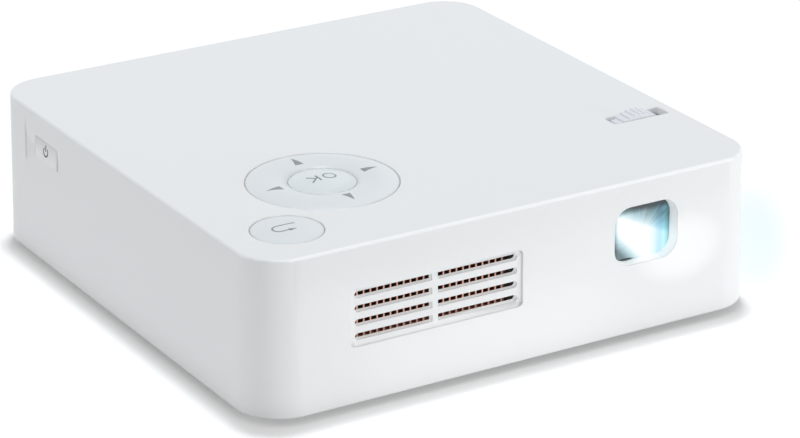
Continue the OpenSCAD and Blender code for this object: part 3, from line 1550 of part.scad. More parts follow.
module speaker_driver() {
  color([0.3, 0.3, 0.32])
    translate([speaker_x, board_back - 3.2, speaker_z])
      rotate([-90, 0, 0]) {
        difference() {
          cylinder(h = 1.8, r = driver_r);
          translate([0, 0, 0.6]) cylinder(h = 2, r1 = driver_r - 5, r2 = driver_r - 1.4);
        }
        translate([0, 0, 0.5]) cylinder(h = 0.9, r1 = 3.4, r2 = 2.2);
        translate([0, 0, -4.5]) cylinder(h = 4.6, r = 7);
      }
}

upper_housing();
base_cover();
feet();
tripod_insert();
housing_screws();
inner_screws();
lens_window();
dpad_ring();
dpad_cushion();
ok_button();
return_button();
power_button();
key_mat();
key_board();
side_key_board();
key_ribbon();
focus_wheel();
focus_bracket();
focus_pins();
idler_gear();
focus_ring();
lens_sleeve();
lens_barrel();
guide_pins();
front_lens();
middle_lens();
rear_lens();
engine_case();
engine_lid();
prism();
relay_lens();
microlens_plate();
dichroic_plate();
collimator_lenses();
green_led_board();
red_blue_led_board();
mirror_chip();
mirror_board();
mirror_heatsink();
led_heat_plate();
heat_pipe();
fin_stack();
air_seal();
fan_case();
fan_lid();
fan_rotor();
fan_motor();
main_board();
board_chips();
chip_heatsink();
wireless_card();
battery_pack();
hdmi_socket();
usb_socket();
audio_socket();
power_socket();
speaker_box();
speaker_driver();
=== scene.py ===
"""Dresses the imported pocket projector: finishes, printed marks, contacts, lamps and camera."""

import json
import math

import bpy
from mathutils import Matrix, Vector


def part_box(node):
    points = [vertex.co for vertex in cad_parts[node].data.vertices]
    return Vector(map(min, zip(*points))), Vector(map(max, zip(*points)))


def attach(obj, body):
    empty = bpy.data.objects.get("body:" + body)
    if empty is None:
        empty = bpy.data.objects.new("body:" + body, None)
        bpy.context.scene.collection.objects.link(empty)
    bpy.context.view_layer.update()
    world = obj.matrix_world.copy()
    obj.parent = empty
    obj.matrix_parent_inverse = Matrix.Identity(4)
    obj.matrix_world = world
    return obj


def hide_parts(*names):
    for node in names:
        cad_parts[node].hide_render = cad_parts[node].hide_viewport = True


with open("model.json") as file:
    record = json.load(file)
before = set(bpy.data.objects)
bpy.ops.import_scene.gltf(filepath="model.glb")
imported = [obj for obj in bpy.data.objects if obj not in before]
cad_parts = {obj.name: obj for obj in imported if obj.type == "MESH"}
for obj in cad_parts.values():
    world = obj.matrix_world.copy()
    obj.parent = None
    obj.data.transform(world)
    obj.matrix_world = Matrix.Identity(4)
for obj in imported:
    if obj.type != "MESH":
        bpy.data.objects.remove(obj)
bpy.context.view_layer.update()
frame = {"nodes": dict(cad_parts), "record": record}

# ---- places and sizes of the part, in millimetres unless another unit is named ----

MM = 0.001


def in_millimetres(place):
    """A place in millimetres, without the hundredths that a round node's facets take off."""
    return Vector([round(axis / MM, 2) for axis in place])


class Extent:
    """The lowest corner, the middle and the highest corner of a CAD node."""

    def __init__(self, node):
        low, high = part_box(node)
        self.low = in_millimetres(low)
        self.middle = in_millimetres((low + high) / 2)
        self.high = in_millimetres(high)


housing = Extent("upper_housing")
LEFT, FRONT = housing.low.xy  # at the foot of the walls
RIGHT, TOP = housing.high.xz
DRAFT = 0.77 / TOP  # lean of the walls
PAD = Extent("dpad_ring").middle.xy
PAD_RADIUS = Extent("dpad_ring").high.x - PAD.x
RETURN_KEY = Extent("return_button").middle.xy
POWER_KEY = Extent("power_button").middle.yz  # on the left wall
POWER_WALL = (LEFT + 1.25, LEFT + 2.75)  # from the wall's outer to its inner face there
SCOOP_END = POWER_KEY + Vector((12.3, -0.6))  # the step at the back of the power key's scoop
LENS = Extent("lens_window").middle.xz  # on the front
GRILLE = (LEFT + 48.5, TOP - 17.88)  # x and z of the middle of the slots
WHEEL_RIM = (Extent("focus_wheel").middle.x, Extent("focus_wheel").low.y + 3)  # behind its hub
FIN_FRONT = Extent("fin_stack").low.y
FIN_BASE = Extent("fin_stack").low.z + 1.16  # just over the fins' base plate
TRIPOD = Extent("tripod_insert").middle.xy
THREAD_PITCH = 1.27
THREAD_REACH = 2.75  # radius inside which the insert shows its thread

# Half sizes of the areas in which the walls of an opening get painted light, standing in for the
# light that they pass on.
WINDOW_AREA = (11.4, 9.6)
GRILLE_AREA = (24.5, 7.5)
WHEEL_AREA = (9.5, 4.5)
POWER_AREA = (7.0, 3.4)
RETURN_AREA = 9.1

# How much painted light the white plastic gives at each of these places, where 1 is white.
WINDOW_LIGHT = 0.13
GRILLE_LIGHT = 0.25
PAD_LIGHT = 0.09
RETURN_LIGHT = 0.1
WHEEL_LIGHT = 0.08
POWER_LIGHT = 0.08
POOL_LIGHT = 0.11
BOUNCE_LIGHT = 0.055
EDGE_LIGHT = 0.08
SCOOP_LIGHT = 0.13

# Painted light on the front face: light spilt beside the lens, and light thrown back by the
# floor.
POOL = LENS + Vector((10, -6))
POOL_SIZE = (15, 10.5)
BOUNCE_MIDDLE = -8
BOUNCE_HALF = 46
BOUNCE_HEIGHTS = (8, 30)  # it fades out between these
PAINTED_SHADE_HEIGHTS = (26, 40)  # and painted shade makes the shell's colour a little darker over these

# Tongues in the plug sockets: lower face over the socket's foot, thickness and half width.
TONGUES = {"hdmi_socket": (2.2, 0.9, 5.9), "usb_socket": (3.2, 1.7, 5.2)}


# ---- shader maths ----


class Value:
    """A socket of a node tree, whose arithmetic adds Math nodes."""

    def __init__(self, graph, socket):
        self.graph = graph
        self.socket = socket

    def math(self, operation, other=None, swapped=False):
        """The outcome of a Math node's operation on this value and perhaps another."""
        terms = (other, self) if swapped else (self, other)
        inputs = {i: t for i, t in enumerate(terms) if t is not None}
        return self.graph.node("ShaderNodeMath", {"operation": operation}, inputs)

    def __add__(self, other):
        return self.math("ADD", other)

    __radd__ = __add__

    def __sub__(self, other):
        return self.math("SUBTRACT", other)

    def __rsub__(self, other):
        return self.math("SUBTRACT", other, swapped=True)

    def __mul__(self, other):
        return self.math("MULTIPLY", other)

    __rmul__ = __mul__

    def __abs__(self):
        return self.math("ABSOLUTE")

    def largest(self, other):
        return self.math("MAXIMUM", other)

    def over(self, low, high, course="SMOOTHSTEP"):
        """Rises smoothly from 0 at low to 1 at high."""
        return self.graph.node(
            "ShaderNodeMapRange",
            {"interpolation_type": course},
            {"Value": self, "From Min": low, "From Max": high},
        )

    def rising(self, low, high):
        """Rises evenly from 0 at low to 1 at high."""
        return self.over(low, high, "LINEAR")


class Graph:
    """A node tree that hands out its sockets as values."""

    def __init__(self, tree):
        self.tree = tree

    def feed(self, socket, value):
        """Links a value to a socket, or sets the socket to a plain number or colour."""
        if isinstance(value, Value):
            self.tree.links.new(value.socket, socket)
        else:
            socket.default_value = value

    def node(self, kind, settings, inputs, output=0):
        """Adds a node, with its settings made before its sockets are fed."""
        made = self.tree.nodes.new(kind)
        for key, value in settings.items():
            if key == "stops":
                ramp = made.color_ramp
                while len(ramp.elements) < len(value):
                    ramp.elements.new(0.5)
                for element, (place, colour) in zip(ramp.elements, value):
                    element.position = place
                    element.color = (*colour, 1)
            else:
                setattr(made, key, value)
        for key, value in inputs.items():
            self.feed(made.inputs[key], value)
        return Value(self, made.outputs[output])

    def ray(self, kind):
        """1 for rays of a kind, such as Camera, and else 0."""
        return self.node("ShaderNodeLightPath", {}, {}, "Is %s Ray" % kind)

    def on_show(self):
        """1 for rays from the camera, mirrored ones and ones through glass, and else 0."""
        return self.ray("Camera").largest(self.ray("Glossy")).largest(self.ray("Transmission"))


class Finish(Graph):
    """A material with one Principled shader, whose patterns have real sizes."""

    def __init__(self, name, **constants):
        self.material = bpy.data.materials.new(name)
        self.material.use_nodes = True
        super().__init__(self.material.node_tree)
        self.tree.nodes.clear()
        self.out = self.tree.nodes.new("ShaderNodeOutputMaterial")
        self.shader = self.tree.nodes.new("ShaderNodeBsdfPrincipled")
        self.tree.links.new(self.shader.outputs[0], self.out.inputs["Surface"])
        self.place = self.node("ShaderNodeTexCoord", {}, {}, "Object")
        for key, value in constants.items():
            self.set(key.replace("_", " "), value)

    def set(self, key, value):
        self.feed(self.shader.inputs[key], value)

    def axes(self):
        """The x, y and z of the place, as values in metres."""
        split = self.node("ShaderNodeSeparateXYZ", {}, {"Vector": self.place})
        return [Value(self, axis) for axis in split.socket.node.outputs]

    def millimetres(self, origin=(0, 0, 0)):
        """The x, y and z from an origin, as values in millimetres."""
        return [axis * 1000 - start for axis, start in zip(self.axes(), origin)]

    def stretched(self, x, y, z):
        """The place with each axis scaled, for grain that runs one way."""
        return self.node("ShaderNodeMapping", {}, {"Vector": self.place, "Scale": (x, y, z)})

    def noise(self, size, detail=2.0, place=None):
        """Soft noise whose spots are about size metres wide, around 0.5."""
        return self.node(
            "ShaderNodeTexNoise",
            {},
            {"Vector": place or self.place, "Scale": 1 / size, "Detail": detail},
        )

    def blend(self, factor, first, second, how="MIX"):
        """A colour that goes from the first to the second as the factor goes from 0 to 1."""
        return self.node(
            "ShaderNodeMix",
            {"data_type": "RGBA", "blend_type": how},
            {0: factor, 6: first, 7: second},
            2,
        )

    def ramp(self, factor, stops):
        """A colour by a value, from stops of place and colour."""
        return self.node("ShaderNodeValToRGB", {"stops": stops}, {"Fac": factor})

    def soft_edges(self, radius):
        """A normal that rounds the sharp edges by radius metres."""
        return self.node("ShaderNodeBevel", {"samples": 4}, {"Radius": radius})

    def relief(self, height, depth, normal=None):
        """Bumps the surface by depth metres where height goes from 0 to 1."""
        inputs = {"Height": height, "Distance": depth}
        if normal is not None:
            inputs["Normal"] = normal
        self.set("Normal", self.node("ShaderNodeBump", {}, inputs))

    def glowing(self, amount, colour=(1, 1, 1)):
        """Lets the finish give off some light, by an amount that may vary."""
        self.set("Emission Color", self.blend(amount, rgb(0, 0, 0), rgb(*colour)))
        self.set("Emission Strength", 1.0)
        return self


def rgb(*values):
    """A colour with full alpha."""
    return (*values, 1.0)


def shade(colour, factor):
    """A colour made lighter or darker by a factor."""
    return rgb(*(min(1.0, c * factor) for c in colour[:3]))


def within(value, centre, half, soft=0.1):
    """1 where a value lies within half of a centre, and else 0."""
    return 1 - abs(value - centre).over(half - soft, half + soft)


def between(value, low, high, soft=0.1):
    """1 where a value lies between two others, and else 0."""
    return within(value, (low + high) / 2, (high - low) / 2, soft)


def in_area(across, up, centre, half):
    """1 inside a rectangle of a centre and half sizes, and else 0."""
    return within(across, centre[0], half[0]) * within(up, centre[1], half[1])


def in_circle(x, y, centre, radius, soft=0.1):
    """1 inside a circle, and else 0."""
    x, y = x - centre[0], y - centre[1]
    return 1 - (x * x + y * y).over((radius - soft) ** 2, (radius + soft) ** 2)


def spot(across, up, half_across, half_up, start=0, end=1):
    """1 at the middle of an ellipse, falling to 0 between two shares of its size squared."""
    across, up = across * (1 / half_across), up * (1 / half_up)
    return 1 - (across * across + up * up).over(start, end)


# ---- finishes ----


def moulded(name, colour, roughness, depth=0.000004, edge=0.0002):
    """Moulded plastic with a fine spark-eroded grain and softly broken edges."""
    f = Finish(name)
    spots = f.noise(0.00025, 3)
    cloud = f.noise(0.035, 1)
    f.set("Base Color", f.blend(cloud, shade(colour, 0.985), shade(colour, 1.015)))
    f.set("Roughness", cloud * 0.06 + spots * 0.08 + (roughness - 0.07))
    f.relief(spots, depth, f.soft_edges(edge) if edge else None)
    return f


def rubber(name, colour):
    """Matt rubber with a coarse grain and rounded edges."""
    f = Finish(name)
    spots = f.noise(0.0003, 4)
    f.set("Base Color", f.blend(spots, shade(colour, 0.8), shade(colour, 1.2)))
    f.set("Roughness", spots * 0.2 + 0.65)
    f.relief(spots, 0.00002, f.soft_edges(0.0003))
    return f


def metal(name, colour, roughness, run=(1, 1, 1), mark=0.0001):
    """Bare metal, with tool marks that run along the axis of the smallest scale."""
    f = Finish(name, Metallic=1.0)
    marks = f.noise(mark, 3, f.stretched(*run))
    stain = f.noise(0.006, 3)
    f.set("Base Color", f.blend(stain, shade(colour, 0.88), shade(colour, 1.05)))
    f.set("Roughness", marks * 0.15 + stain * 0.1 + (roughness - 0.12))
    f.relief(marks, 0.000006, f.soft_edges(0.00012))
    return f


def circuit(name, colour):
    """Solder mask over copper tracks, with tinned pads."""
    f = Finish(name)
    cells = f.node(
        "ShaderNodeTexBrick",
        {"offset": 0.37, "squash": 0.7, "squash_frequency": 3},
        {"Vector": f.place, "Scale": 260.0, "Mortar Size": 0.06, "Brick Width": 1.3},
        1,
    )
    dots = f.node("ShaderNodeTexVoronoi", {}, {"Vector": f.place, "Scale": 420.0})
    pads = 1 - dots.over(0.1, 0.14)
    tracks = f.blend(cells, colour, shade(colour, 1.7))
    f.set("Base Color", f.blend(pads, tracks, rgb(0.75, 0.74, 0.7)))
    f.set("Roughness", pads * 0.15 + 0.3)
    f.relief(cells + pads, 0.00002)
    return f


def glass(name, colour, roughness=0.02):
    """Clear glass with a trace of dust."""
    f = Finish(name, IOR=1.5, Transmission_Weight=1.0)
    dust = f.noise(0.0008, 3)
    f.set("Base Color", f.blend(dust, colour, shade(colour, 0.97)))
    f.set("Roughness", dust * 0.02 + roughness)
    return f


WHITE = rgb(0.86, 0.87, 0.875)


def shell():
    """The white shell, with painted light in its openings, at its front edge and beside the
    lens, and painted shade high on its front.
    """
    f = moulded("satin_white_shell", WHITE, 0.42)
    x, y, z = f.millimetres()
    under = TOP - z
    behind = y - FRONT - z * DRAFT
    inward = x - LEFT - z * DRAFT
    outside = 1 - behind.over(0.15, 0.3)

    # Painted light on the front face, and a painted highlight along its upper edge.
    pool = spot(x - POOL.x, z - POOL.y, *POOL_SIZE) * POOL_LIGHT
    across = (x - BOUNCE_MIDDLE) * (1 / BOUNCE_HALF)
    bounce = (1 - (across * across).over(0, 1)) * (1 - z.over(*BOUNCE_HEIGHTS)) * BOUNCE_LIGHT
    edge = between(under, 0, 0.6) * between(behind, -0.15, 0.65) * EDGE_LIGHT

    # Painted light on the walls of the openings, from just behind the outer face to the inner
    # one, and on the step at the back of the power key's scoop.
    window = in_area(x, z, LENS, WINDOW_AREA) * between(behind, 0.15, 5.65)
    window = window * ((LENS.y - z).over(-6, 7) * 0.2 + WINDOW_LIGHT)
    grille = in_area(x, z, GRILLE, GRILLE_AREA) * between(behind, 0.8, 2.0) * GRILLE_LIGHT
    pad = in_circle(x, y, PAD, PAD_RADIUS + 0.5) * PAD_LIGHT
    back_key = in_circle(x, y, RETURN_KEY, RETURN_AREA) * RETURN_LIGHT
    knob = in_area(x, y, WHEEL_RIM, WHEEL_AREA) * WHEEL_LIGHT
    top = (pad + back_key + knob) * between(under, 0.2, 2.6)
    side = in_area(y, z, POWER_KEY, POWER_AREA) * between(x, *POWER_WALL) * POWER_LIGHT
    scoop = in_area(y, z, SCOOP_END, (0.3, 6)) * between(inward, 0.1, 0.9) * SCOOP_LIGHT

    # Painted shade: the front face's colour is a little darker towards its top.
    darker = z.over(*PAINTED_SHADE_HEIGHTS) * outside
    f.set("Base Color", f.blend(darker, WHITE, shade(WHITE, 0.95)))
    return f.glowing((pool + bounce) * outside + edge + window + grille + top + side + scoop)


def keycap(name, colour, roughness, rim):
    """A key whose upright rim, seen down a narrow gap, gets painted light in place of the light
    that it passes on.
    """
    f = moulded(name, colour, roughness)
    x, y, z = f.millimetres()
    on_top = x.over(LEFT + 3.5, LEFT + 5.5)  # the key in the left wall is whiter
    f.set("Base Color", f.blend(on_top, rgb(0.86, 0.86, 0.86), colour))
    # Painted light on the key's rim, below the shell's top.
    return f.glowing(between(TOP - z, 0.2, 3.8) * rim)


def wheel():
    """White plastic, with a darker colour and an even painted glow in place of the light from
    the white walls of its slot.
    """
    f = moulded("satin_white_wheel", rgb(0.46, 0.47, 0.51), 0.4)
    f.set("Emission Color", rgb(0.285, 0.291, 0.3))
    f.set("Emission Strength", 1.0)
    return f


def fins():
    """Bare copper with painted light on its front edges and base plate, and painted shade behind
    the front edges.
    """
    f = metal("bare_copper", rgb(0.85, 0.42, 0.28), 0.35, (1, 1, 9))
    x, y, z = f.millimetres()
    edges = 1 - y.over(FIN_FRONT + 0.1, FIN_FRONT + 0.4)
    plate = 1 - z.over(FIN_BASE - 0.1, FIN_BASE + 0.1)
    # Painted shade behind the front edges, and painted light on the edges and on the base plate.
    f.set("Base Color", f.blend(edges, rgb(0.25, 0.08, 0.045), rgb(0.85, 0.46, 0.33)))
    return f.glowing(edges * 0.3 + plate * 0.07 + 0.002, (1.0, 0.58, 0.46))


def sockets():
    """Plated socket shells, each with a black tongue inside."""
    f = Finish("plated_socket_shell")
    x, y, z = f.millimetres()
    stain = f.noise(0.006, 3)
    plated = f.blend(stain, rgb(0.55, 0.55, 0.57), rgb(0.66, 0.66, 0.68))
    tongue = 0
    for name, (lower_face, thick, half) in TONGUES.items():
        socket = Extent(name)
        middle = socket.low.z + lower_face + thick / 2
        level = within(z, middle, thick / 2 + 0.08, 0.03)
        tongue = within(x, socket.middle.x, half) * level + tongue
    f.set("Base Color", f.blend(tongue, plated, rgb(0.015, 0.015, 0.017)))
    f.set("Metallic", 1 - tongue)
    f.set("Roughness", tongue * 0.2 + stain * 0.1 + 0.2)
    return f


def insert():
    """Turned brass, with the tripod thread's turns down its bore."""
    f = Finish("turned_brass", Metallic=1.0, Roughness=0.3)
    x, y, z = f.millimetres((*TRIPOD, 0))
    stain = f.noise(0.004, 3)
    turns = (z * (math.tau / THREAD_PITCH) + y.math("ARCTAN2", x)).math("SINE")
    bore = in_circle(x, y, (0, 0), THREAD_REACH)
    f.set("Base Color", f.blend(stain, rgb(0.68, 0.5, 0.23), rgb(0.8, 0.6, 0.3)))
    f.relief(turns * bore * 0.5 + 0.5, 0.0004, f.soft_edges(0.00015))
    return f


# Colours of the window's painted light, from deep painted shade to full light, and towards its
# blue right rim.
BEAM_COLOURS = (
    (0.2, (0.03, 0.042, 0.045)),
    (0.43, (0.11, 0.165, 0.172)),
    (0.57, (0.19, 0.29, 0.315)),
    (0.7, (0.328, 0.451, 0.497)),
    (0.8, (0.456, 0.624, 0.672)),
    (0.9, (0.658, 0.807, 0.855)),
    (0.96, (0.855, 0.939, 0.956)),
    (1.0, (0.99, 1, 1)),
)
RIM_COLOURS = (
    (0.62, (1, 1, 1)),
    (0.7, (0.8, 0.95, 1)),
    (0.75, (0.62, 0.84, 0.98)),
    (0.8, (0.5, 0.8, 0.93)),
    (0.85, (0.56, 0.92, 1)),
    (0.9, (0.38, 0.75, 0.8)),
    (0.94, (0.12, 0.25, 0.3)),
)


def lit_window():
    """Window glass with painted light from behind: a white beam, teal painted shade with fine
    rays and a blue rim.
    """
    f = Finish("lit_window", Roughness=0.06, Base_Color=rgb(0.02, 0.025, 0.03))
    u, y, w = f.millimetres((LENS.x, 0, LENS.y))

    # Painted shade over the beam, under it and along the top and left edges.
    above = (w + u * 0.48).rising(1.0, 6.4)
    below = (u + w).rising(-6.0, -11.4)
    edges = w.over(4.2, 6.4) * 0.42 + u.over(-6.3, -8.0) * 0.25
    dark = above * 0.49 + below * (below * 0.38 + 0.15) + edges

    # Rays are noise that changes quickly round the beam's middle and slowly outwards.
    angle = (w + 3).math("ARCTAN2", u + 1)
    reach = (u * u + w * w) * 0.012
    rays = f.noise(1.0, 3, f.node("ShaderNodeCombineXYZ", {}, {0: angle * 9, 1: reach}))
    bright = 1 - dark + (rays - 0.5) * (above * 0.5 + below * 0.2)
    beam = f.ramp(bright, BEAM_COLOURS)
    glow = f.blend(1.0, beam, f.ramp(u * 0.05 + 0.5, RIM_COLOURS), "MULTIPLY")

    # A black sliver at the foot, where the window's seat shows.
    sliver = spot(u + 4.7, w + u * 0.04 + 7.2, 2.8, 0.28, 0.5, 1.2)
    f.set("Emission Color", f.blend(sliver, glow, rgb(0.005, 0.005, 0.006)))
    f.set("Emission Strength", 1.0)
    return f


finishes = {
    "housing": shell(),
    "cover": moulded("fine_matt_white", rgb(0.82, 0.83, 0.835), 0.6, 0.000008),
    "key": keycap("satin_white_keys", rgb(0.775, 0.805, 0.83), 0.38, 0.1),
    "ok_key": keycap("cool_white_key", rgb(0.775, 0.815, 0.835), 0.36, 0.16),
    "foot": rubber("dark_rubber_feet", rgb(0.03, 0.03, 0.033)),
    "insert": insert(),
    "screw": metal("blackened_steel_screws", rgb(0.1, 0.1, 0.11), 0.38),
    "optic": glass("coated_lens_glass", rgb(0.9, 0.94, 1.0)),
    "window": lit_window(),
    "silicone": rubber("grey_silicone", rgb(0.45, 0.46, 0.47)),
    "board": circuit("green_circuit_board", rgb(0.015, 0.12, 0.05)),
    "flex": moulded("amber_flat_cable", rgb(0.5, 0.22, 0.04), 0.3, edge=0),
    "wheel": wheel(),
    "steel": metal("bright_steel", rgb(0.62, 0.62, 0.64), 0.3, (1, 6, 6)),
    "acetal": moulded("natural_acetal", rgb(0.7, 0.7, 0.63), 0.4),
    "black_plastic": moulded("matt_black_plastic", rgb(0.012, 0.012, 0.013), 0.5),
    "die_cast": metal("die_cast_alloy", rgb(0.42, 0.43, 0.45), 0.5, mark=0.0004),
    "led_board": moulded("white_metal_core_board", rgb(0.7, 0.7, 0.68), 0.3),
    "mirror_chip": metal("mirror_chip_face", rgb(0.4, 0.43, 0.55), 0.12),
    "heatsink": metal("extruded_alloy", rgb(0.6, 0.61, 0.63), 0.35, (10, 1, 1)),
    "copper": fins(),
    "foam": rubber("closed_cell_foam", rgb(0.01, 0.01, 0.01)),
    "chip": moulded("moulded_chip_black", rgb(0.015, 0.015, 0.017), 0.35),
    "card": circuit("blue_wireless_card", rgb(0.01, 0.04, 0.14)),
    "battery": metal("laminated_foil", rgb(0.5, 0.52, 0.56), 0.28, mark=0.0006),
    "socket_shell": sockets(),
    "socket_black": moulded("black_socket_body", rgb(0.012, 0.012, 0.014), 0.3),
}
key_ink = moulded("grey_key_print", rgb(0.285, 0.305, 0.32), 0.5, edge=0)
power_ink = moulded("dark_power_print", rgb(0.03, 0.03, 0.032), 0.5, edge=0)
plating = metal("gold_plating", rgb(0.85, 0.62, 0.26), 0.25, (9, 1, 9))


# ---- modelling ----


def only(piece):
    """Selects one piece alone and makes it active."""
    bpy.ops.object.select_all(action="DESELECT")
    piece.select_set(True)
    bpy.context.view_layer.objects.active = piece


def edit(piece):
    """Opens one piece in edit mode, with all of it selected."""
    only(piece)
    bpy.ops.object.mode_set(mode="EDIT")
    bpy.ops.mesh.select_all(action="SELECT")


def named(name):
    """Names the piece that an operator has just made, and its mesh."""
    piece = bpy.context.object
    piece.name = name
    piece.data.name = name
    return piece


def smooth(piece, angle):
    """Shades a piece smooth, apart from edges sharper than an angle in degrees."""
    only(piece)
    bpy.ops.object.shade_smooth_by_angle(angle=math.radians(angle))


def apply_modifiers(piece):
    """Writes what the piece's modifiers do into its mesh."""
    only(piece)
    for modifier in list(piece.modifiers):
        bpy.ops.object.modifier_apply(modifier=modifier.name)


def wear(piece, finish, body):
    """Gives a piece its finish, and the body that it rides on."""
    piece.data.materials.clear()
    piece.data.materials.append(finish.material)
    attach(piece, body)


def merged_copy(node, name):
    """A copy of a CAD node's mesh with its loose triangles joined."""
    piece = bpy.data.objects.new(name, frame["nodes"][node].data.copy())
    bpy.context.scene.collection.objects.link(piece)
    piece.data.name = name
    edit(piece)
    bpy.ops.mesh.remove_doubles(threshold=0.000001)
    bpy.ops.object.mode_set(mode="OBJECT")
    return piece


def dress(node, body, slot):
    """Puts a smoothly shaded piece of the same shape in the place of a CAD node."""
    piece = merged_copy(node, node + "_skin")
    smooth(piece, 28)
    weighted = piece.modifiers.new("weighted", "WEIGHTED_NORMAL")
    weighted.keep_sharp = True
    apply_modifiers(piece)
    wear(piece, finishes[slot], body)
    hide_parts(node)


bodies = frame["record"]["behaviour"]["bodies"]
body_of = {node: body for body, nodes in bodies.items() for node in nodes}
slot_of = {part["node"]: part["material_slot"] for part in frame["record"]["subparts"]}

# These nodes get a smoothly shaded piece in their place. The others only get their finish.
SKINNED = (
    "upper_housing",
    "base_cover",
    "feet",
    "dpad_ring",
    "ok_button",
    "return_button",
    "power_button",
    "focus_wheel",
)

for name, node in frame["nodes"].items():
    if name not in SKINNED:
        for place in node.material_slots:
            place.material = finishes[slot_of[name]].material
for name in SKINNED:
    dress(name, body_of[name], slot_of[name])


# ---- printed marks on the keys ----

INK = 0.02  # thickness of a mark
KEY_TOPS = (TOP - 0.05, TOP + 2)  # heights of the cut, from just inside a key to over its crown
POWER_FACE = (69.5, 73.0)  # the same for the power key, out to the left


def flat_shape(name, loops):
    """A flat mesh filled inside closed outlines."""
    curve = bpy.data.curves.new(name, "CURVE")
    curve.dimensions = "2D"
    curve.fill_mode = "BOTH"
    for loop in loops:
        spline = curve.splines.new("POLY")
        spline.points.add(len(loop) - 1)
        for point, (x, y) in zip(spline.points, loop):
            point.co = (x * MM, y * MM, 0, 1)
        spline.use_cyclic_u = True
    piece = bpy.data.objects.new(name, curve)
    bpy.context.scene.collection.objects.link(piece)
    only(piece)
    bpy.ops.object.convert(target="MESH")
    return bpy.context.object


def stroke(points, width):
    """The closed outline of a line of a width along points."""
    left, right = [], []
    last = len(points) - 1
    for i, point in enumerate(points):
        before = Vector(points[max(i - 1, 0)])
        after = Vector(points[min(i + 1, last)])
        along = (after - before).normalized()
        across = Vector((-along.y, along.x)) * width / 2
        left.append(tuple(Vector(point) + across))
        right.append(tuple(Vector(point) - across))
    return left + right[::-1]


def on_ellipse(centre, half_x, half_y, angle):
    """The point of an ellipse at an angle in radians."""
    return centre[0] + half_x * math.cos(angle), centre[1] + half_y * math.sin(angle)


def arc(centre, radius, start, end, steps=24):
    """Points on an arc, with angles in degrees."""
    turns = (start + (end - start) * i / steps for i in range(steps + 1))
    return [on_ellipse(centre, radius, radius, math.radians(turn)) for turn in turns]


def ellipse(centre, half_x, half_y, steps=48):
    """Points round an ellipse."""
    return [on_ellipse(centre, half_x, half_y, math.tau * i / steps) for i in range(steps)]


def moved(points, centre, turn=0.0):
    """Points turned by degrees about the origin and moved to a centre."""
    c, s = math.cos(math.radians(turn)), math.sin(math.radians(turn))
    return [(centre[0] + x * c - y * s, centre[1] + x * s + y * c) for x, y in points]


def printed(name, loops, key, heights=KEY_TOPS, ink=key_ink, on_side=False):
    """A mark on a key: its outlines cut out of a layer of ink over the key.

    On the side, the outlines' first axis runs up, and heights run out to the left.
    """
    low, high = heights
    mark = flat_shape(name, loops)
    edit(mark)
    bpy.ops.mesh.extrude_region_move(
        TRANSFORM_OT_translate={"value": (0, 0, (high - low) * MM)}
    )
    bpy.ops.mesh.select_all(action="SELECT")
    bpy.ops.transform.translate(value=(0, 0, low * MM))
    if on_side:
        bpy.ops.transform.rotate(
            value=math.radians(90),
            orient_axis="Y",
            orient_type="GLOBAL",
            center_override=(0, 0, 0),
        )
    bpy.ops.mesh.normals_make_consistent(inside=False)
    bpy.ops.object.mode_set(mode="OBJECT")

    layer = merged_copy(key, "ink_layer")
    edit(layer)
    bpy.ops.transform.translate(value=(-INK * MM, 0, 0) if on_side else (0, 0, INK * MM))
    bpy.ops.object.mode_set(mode="OBJECT")

    cut = mark.modifiers.new("on_key", "BOOLEAN")
    cut.operation = "INTERSECT"
    cut.object = layer
    cut.solver = "EXACT"
    apply_modifiers(mark)
    bpy.data.objects.remove(layer)
    smooth(mark, 40)
    wear(mark, ink, body_of[key])


arrow = [(15.5, 0.0), (11.2, 1.15), (11.2, -1.15)]
for i, side in enumerate(("right", "back", "left", "front")):
    printed("arrow_" + side, [moved(arrow, PAD, 90 * i)], "dpad_ring")

# The word OK reads from behind the part, where its user stands.
PEN = 0.48
round_o = [
    ellipse((1.95, 0), 1.8, 1.72),
    ellipse((1.95, 0), 1.8 - PEN, 1.72 - PEN)[::-1],
]
ok_marks = {
    "letter_o": round_o,
    "letter_k_stem": [stroke([(-1.15, 1.7), (-1.15, -1.7)], PEN)],
    "letter_k_upper_arm": [stroke([(-1.25, 0.35), (-3.55, -1.75)], PEN)],
    "letter_k_lower_arm": [stroke([(-1.95, -0.25), (-3.5, 1.75)], PEN)],
}
for name, loops in ok_marks.items():
    printed(name, [moved(loop, PAD) for loop in loops], "ok_button")

bend = [(3.1, 1.95), (-1.2, 1.95), *arc((-1.9, 0.3), 1.65, 90, 270), (0.2, -1.35)]
arrow_head = [(2.0, -1.35), (-0.1, -0.65), (-0.1, -2.05)]
printed("return_line", [moved(stroke(bend, PEN), RETURN_KEY)], "return_button")
printed("return_arrow", [moved(arrow_head, RETURN_KEY)], "return_button")

# The power symbol is drawn with up as its first axis and back as its second.
POWER_PEN = 0.4
POWER_MARK = POWER_KEY.yx + Vector((0.3, 0.25))
power_marks = {
    "power_ring": stroke(arc((0, 0), 1.2, 42, 318), POWER_PEN),
    "power_bar": stroke([(0.1, 0), (1.8, 0)], POWER_PEN),
}
for name, loop in power_marks.items():
    place = [moved(loop, POWER_MARK)]
    printed(name, place, "power_button", POWER_FACE, power_ink, on_side=True)


# ---- contacts on the tongues of the plug sockets ----

STRIP = 0.12  # thickness of a contact
STRIP_LENGTH = 7.0
STRIP_INSET = 5.2  # from the socket's mouth to the middle of a contact


